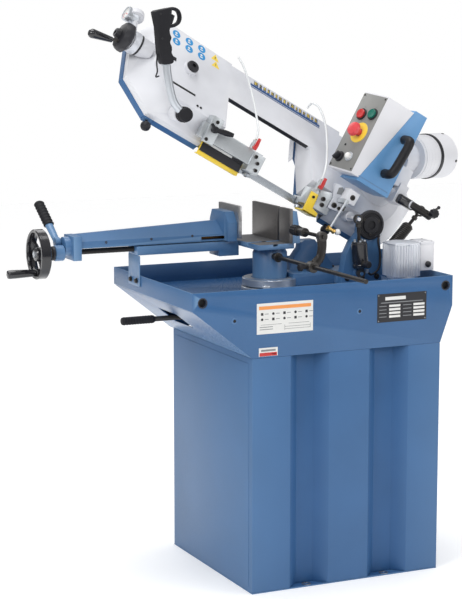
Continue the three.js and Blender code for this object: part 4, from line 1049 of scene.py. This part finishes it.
# ---- drive and controls ----
def make_drive():
    dress("gearbox", white_cast, 2.0, 3)
    dress("drive_housing", blue_light, 3.0, 3)
    radius = 62
    body = turned([(58, -93.5), (radius, -92), (radius, -12), (radius - 1, -10), (radius - 1, -1)], "x",
                  ORIGIN, 72)
    parts = [(body, white)]
    for k in range(5):
        parts.append((turned([(radius - 0.5, -84 + 14 * k), (radius + 0.2, -83.4 + 14 * k),
                              (radius - 0.5, -82.8 + 14 * k)],
                             "x", ORIGIN, 72, True), white))
    piece("motor_shell", "bow", WORM, parts, 0, ["motor_body"])
    seam = turned([(radius - 2, -28.5), (radius + 2.6, -27.9), (radius + 2.6, -18), (radius - 2, -17.4)],
                  "x", ORIGIN, 72, True)
    cover = turned([(radius - 2, -19), (radius + 2, -18.5), (radius + 2, 46), (radius - 2, 52),
                    (radius - 8, 54), (40, 54),
                    (38, 52.6), (12, 52.6), (4, 54)], "x", ORIGIN, 72)
    shell = [(cover, white), (seam, black_print_and_shade)]
    # The dark slits are painted shade in the fan cover's vents.
    for k in range(16):
        turn = Matrix.Rotation(2 * math.pi * k / 16, 4, "X")
        shell.append((placed(block((53.7, 54.1), (42, 52), (-1.5, 1.5)), turn), dark))
        shell.append((placed(block((52.5, 52.9), (16, 36), (-1.2, 1.2)), turn), dark))
    for k in range(4):
        turn = Matrix.Rotation(2 * math.pi * (k + 0.5) / 4, 4, "X")
        shell.append((placed(cap_screw(4, 1.4, "z", (40, 0, radius + 1.7)), turn), black_metal))
    piece("fan_cover_shell", "bow", WORM, shell, 0, ["motor_fan_cover"])
    places = [(DRIVE_X + x, AXLE_S + s, 152) for x, s in around(8, 46)]
    piece("gearbox_bolts", "bow", PLANE, cap_screws(4, 3.6, "z", places))
    post = turned([(12.4, 222), (14, 224), (14, 272), (12.4, 275), (8, 276)], "x", (0, -42, 1037), 32)
    hook = turned([(9, 258), (11, 262), (11, 322), (12, 325), (12, 333), (8, 336)], "x", (0, -53, 1037), 28)
    knob = turned([(4, -80), (12, -79), (14, -74), (14, -66), (8, -62)], "y", (330, 0, 1046), 40, False, 8,
                  0.12)
    lever = swept([(318, -62, 1040), (334, -70, 1064)], lambda t: 2.6 + 0.6 * t, 12)
    tip = turned([(1, -5), (4, -3.6), (5, 0), (4, 3.6), (1, 5)], "z", (335, -70.5, 1067), 20)
    piece("spring_hook_sleeve", "bow", BOW, [(post, gloss_black), (hook, black_metal), (knob, black),
                                             (lever, black_metal), (tip, black)],
          0)


def make_controls():
    dress("control_box", white, 2.4, 3)
    spine = [(134, -70, 1069), (134, -96, 1070), (136, -107, 1079), (138, -110, 1109),
             (140, -110, 1137), (142, -107, 1167), (142, -96, 1176), (142, -70, 1177)]
    piece("bridge_handle_grip", "bow", BOW, [(swept(spline(spine, 6), 13, 24), black)], 0,
          ["bridge_handle"])
    plate = block((-0.5, 96.5), (-112, 112), (0.1, 1.4))
    screws = cap_screws(2.6, 1.2, "z", [(u, v, 1.4) for u in (5, 91) for v in (-106, 106)])
    piece("operating_panel", "bow", PANEL, [(plate, panel_grey)], 0.4)
    piece("operating_panel_screws", "bow", PANEL, screws)

    def bezel(at, inner, outer, height, material):
        ring = [(inner, 1.4), (outer, 1.4), (outer, height - 0.8), (outer - 1, height), (inner, height)]
        return turned(ring, "z", (*at, 0), 40, True), material

    start, stop, halt, selector = (24, 57), (66, 50), (42, -2), (70, -81)
    piece("panel_bezels", "bow", PANEL, [
        bezel(start, 14, 17, 5, black), bezel(stop, 14, 17, 5, black), bezel(halt, 12, 30, 2.8, yellow),
        bezel(selector, 12.4, 15.4, 3.6, black), bezel((35, -74), 9.5, 13.5, 4.4, chrome)])
    lamp = turned([(9.4, 1.4), (9.4, 8), (8, 11.4), (4, 13)], "z", (35, -74, 0), 36)
    led = turned([(3, 1.4), (3, 3), (1.6, 4)], "z", (71, -44, 0), 20)
    mark = [(block((u, u + 8), (v, v + 1.2), (1.4, 1.55)), print_grey) for u,
            v in ((20, 78), (62, 72), (38, 36), (66, -102))]
    piece("panel_lamps", "bow", PANEL, [(lamp, lens), (led, dark), *mark])
    for name, at, material, slot in (("start", start, green, "green_plastic"),
                                     ("stop", stop, red, "red_plastic")):
        button = turned([(9, -8), (9, 5.2), (13.4, 5.4), (13.4, 9.4), (12, 10.6), (3, 10)], "z", (*at, 0),
                        40)
        piece(f"{name}_button_cap", f"{name}_button", PANEL, [(button, material)], 0,
              [f"{name}_button"])
    mushroom = turned([(10, -12), (10, 18), (17, 18.4), (20, 21), (20, 26), (17.6, 31), (11, 33.6),
                       (3, 34)], "z", (*halt, 0), 56)
    piece("emergency_stop_mushroom", "emergency_stop", PANEL, [(mushroom, signal_red)], 0,
          ["emergency_stop"])
    base = turned([(8, -12), (8, 1.4), (12, 1.6), (12, 7), (11, 8)], "z", (*selector, 0), 40)
    lever = placed(block((-4.2, 4.2), (-12.5, 10.5), (7.6, 19.6)),
                   Matrix.Translation((*selector, 0)) @ Matrix.Rotation(0.6, 4, "Z"))
    piece("selector_switch_lever", "selector_switch", PANEL, of(black, base, lever), 0.9,
          ["selector_switch"])
    line = prism("xz", [(70, 1028), (174, 1028), (174, 1031), (71, 1031)], (-60.6, -59.8))
    piece("housing_seam", "bow", BOW, [(line, blue)])


# ---- surroundings ----
def make_stage():
    mesh = bpy.data.meshes.new("floor")
    mesh.from_pydata([(-9, -9, 0), (9, -9, 0), (9, 9, 0), (-9, 9, 0)], [], [(0, 1, 2, 3)])
    floor = bpy.data.objects.new("floor", mesh)
    mesh.materials.append(surface("floor_pale", (0.86, 0.86, 0.86), 0.7, grain=60, bump=0.0, mottle=0.0))
    pale = mesh.materials[0].node_tree.nodes["Principled BSDF"]
    pale.inputs["Emission Color"].default_value = (1.0, 1.0, 1.0, 1)
    pale.inputs["Emission Strength"].default_value = 0.22
    bpy.context.scene.collection.objects.link(floor)
    world = bpy.data.worlds.new("studio")
    bpy.context.scene.world = world
    world.use_nodes = True
    tree = world.node_tree
    sky = tree.nodes["Background"]
    backdrop = tree.nodes.new("ShaderNodeBackground")
    chosen = tree.nodes.new("ShaderNodeMixShader")
    # A soft white dome overhead, darker towards the horizon behind the viewer; the camera sees white.
    way = tree.nodes.new("ShaderNodeSeparateXYZ")
    tree.links.new(tree.nodes.new("ShaderNodeTexCoord").outputs["Generated"], way.inputs[0])
    rise = ranged(tree, way.outputs[2], 0.12, 1.0, -0.05, 0.75)
    tree.links.new(mixed(tree, rise, (0.16, 0.17, 0.19), (1.0, 1.0, 1.0)), sky.inputs[0])
    sky.inputs[1].default_value = 0.5
    backdrop.inputs[0].default_value = (1.0, 1.0, 1.0, 1)
    tree.links.new(tree.nodes.new("ShaderNodeLightPath").outputs["Is Camera Ray"], chosen.inputs[0])
    tree.links.new(sky.outputs[0], chosen.inputs[1])
    tree.links.new(backdrop.outputs[0], chosen.inputs[2])
    tree.links.new(chosen.outputs[0], tree.nodes["World Output"].inputs[0])
    bpy.context.scene.view_settings.view_transform = "Standard"
    for name, place, size, power in (
            ("key", (-3.2, -1.8, 3.0), 1.4, 52), ("fill", (2.8, -3.0, 2.2), 2.0, 30),
        ("front", (-1.4, -4.2, 3.2), 1.6, 30),
            ("rim", (-0.5, 3.0, 3.2), 2.5, 30)):
        light = bpy.data.objects.new(name, bpy.data.lights.new(name, "AREA"))
        light.data.size = size
        light.data.energy = power
        light.location = place
        light.rotation_euler = (Vector((0, 0, 0.9)) - Vector(place)).to_track_quat("-Z", "Y").to_euler()
        bpy.context.scene.collection.objects.link(light)
    above = bpy.data.objects.new("above", bpy.data.lights.new("above", "SUN"))
    above.data.energy = 1.55
    above.data.angle = 0.7
    bpy.context.scene.collection.objects.link(above)


make_hoses()
make_stage()
make_stand()
make_labels()
make_pedestal()
make_vice()
make_small_stand_parts()
make_pump()
make_turntable()
make_links()
make_bow_frame()
make_blade()
make_tension()
make_guides()
make_handle()
make_drive()
make_controls()
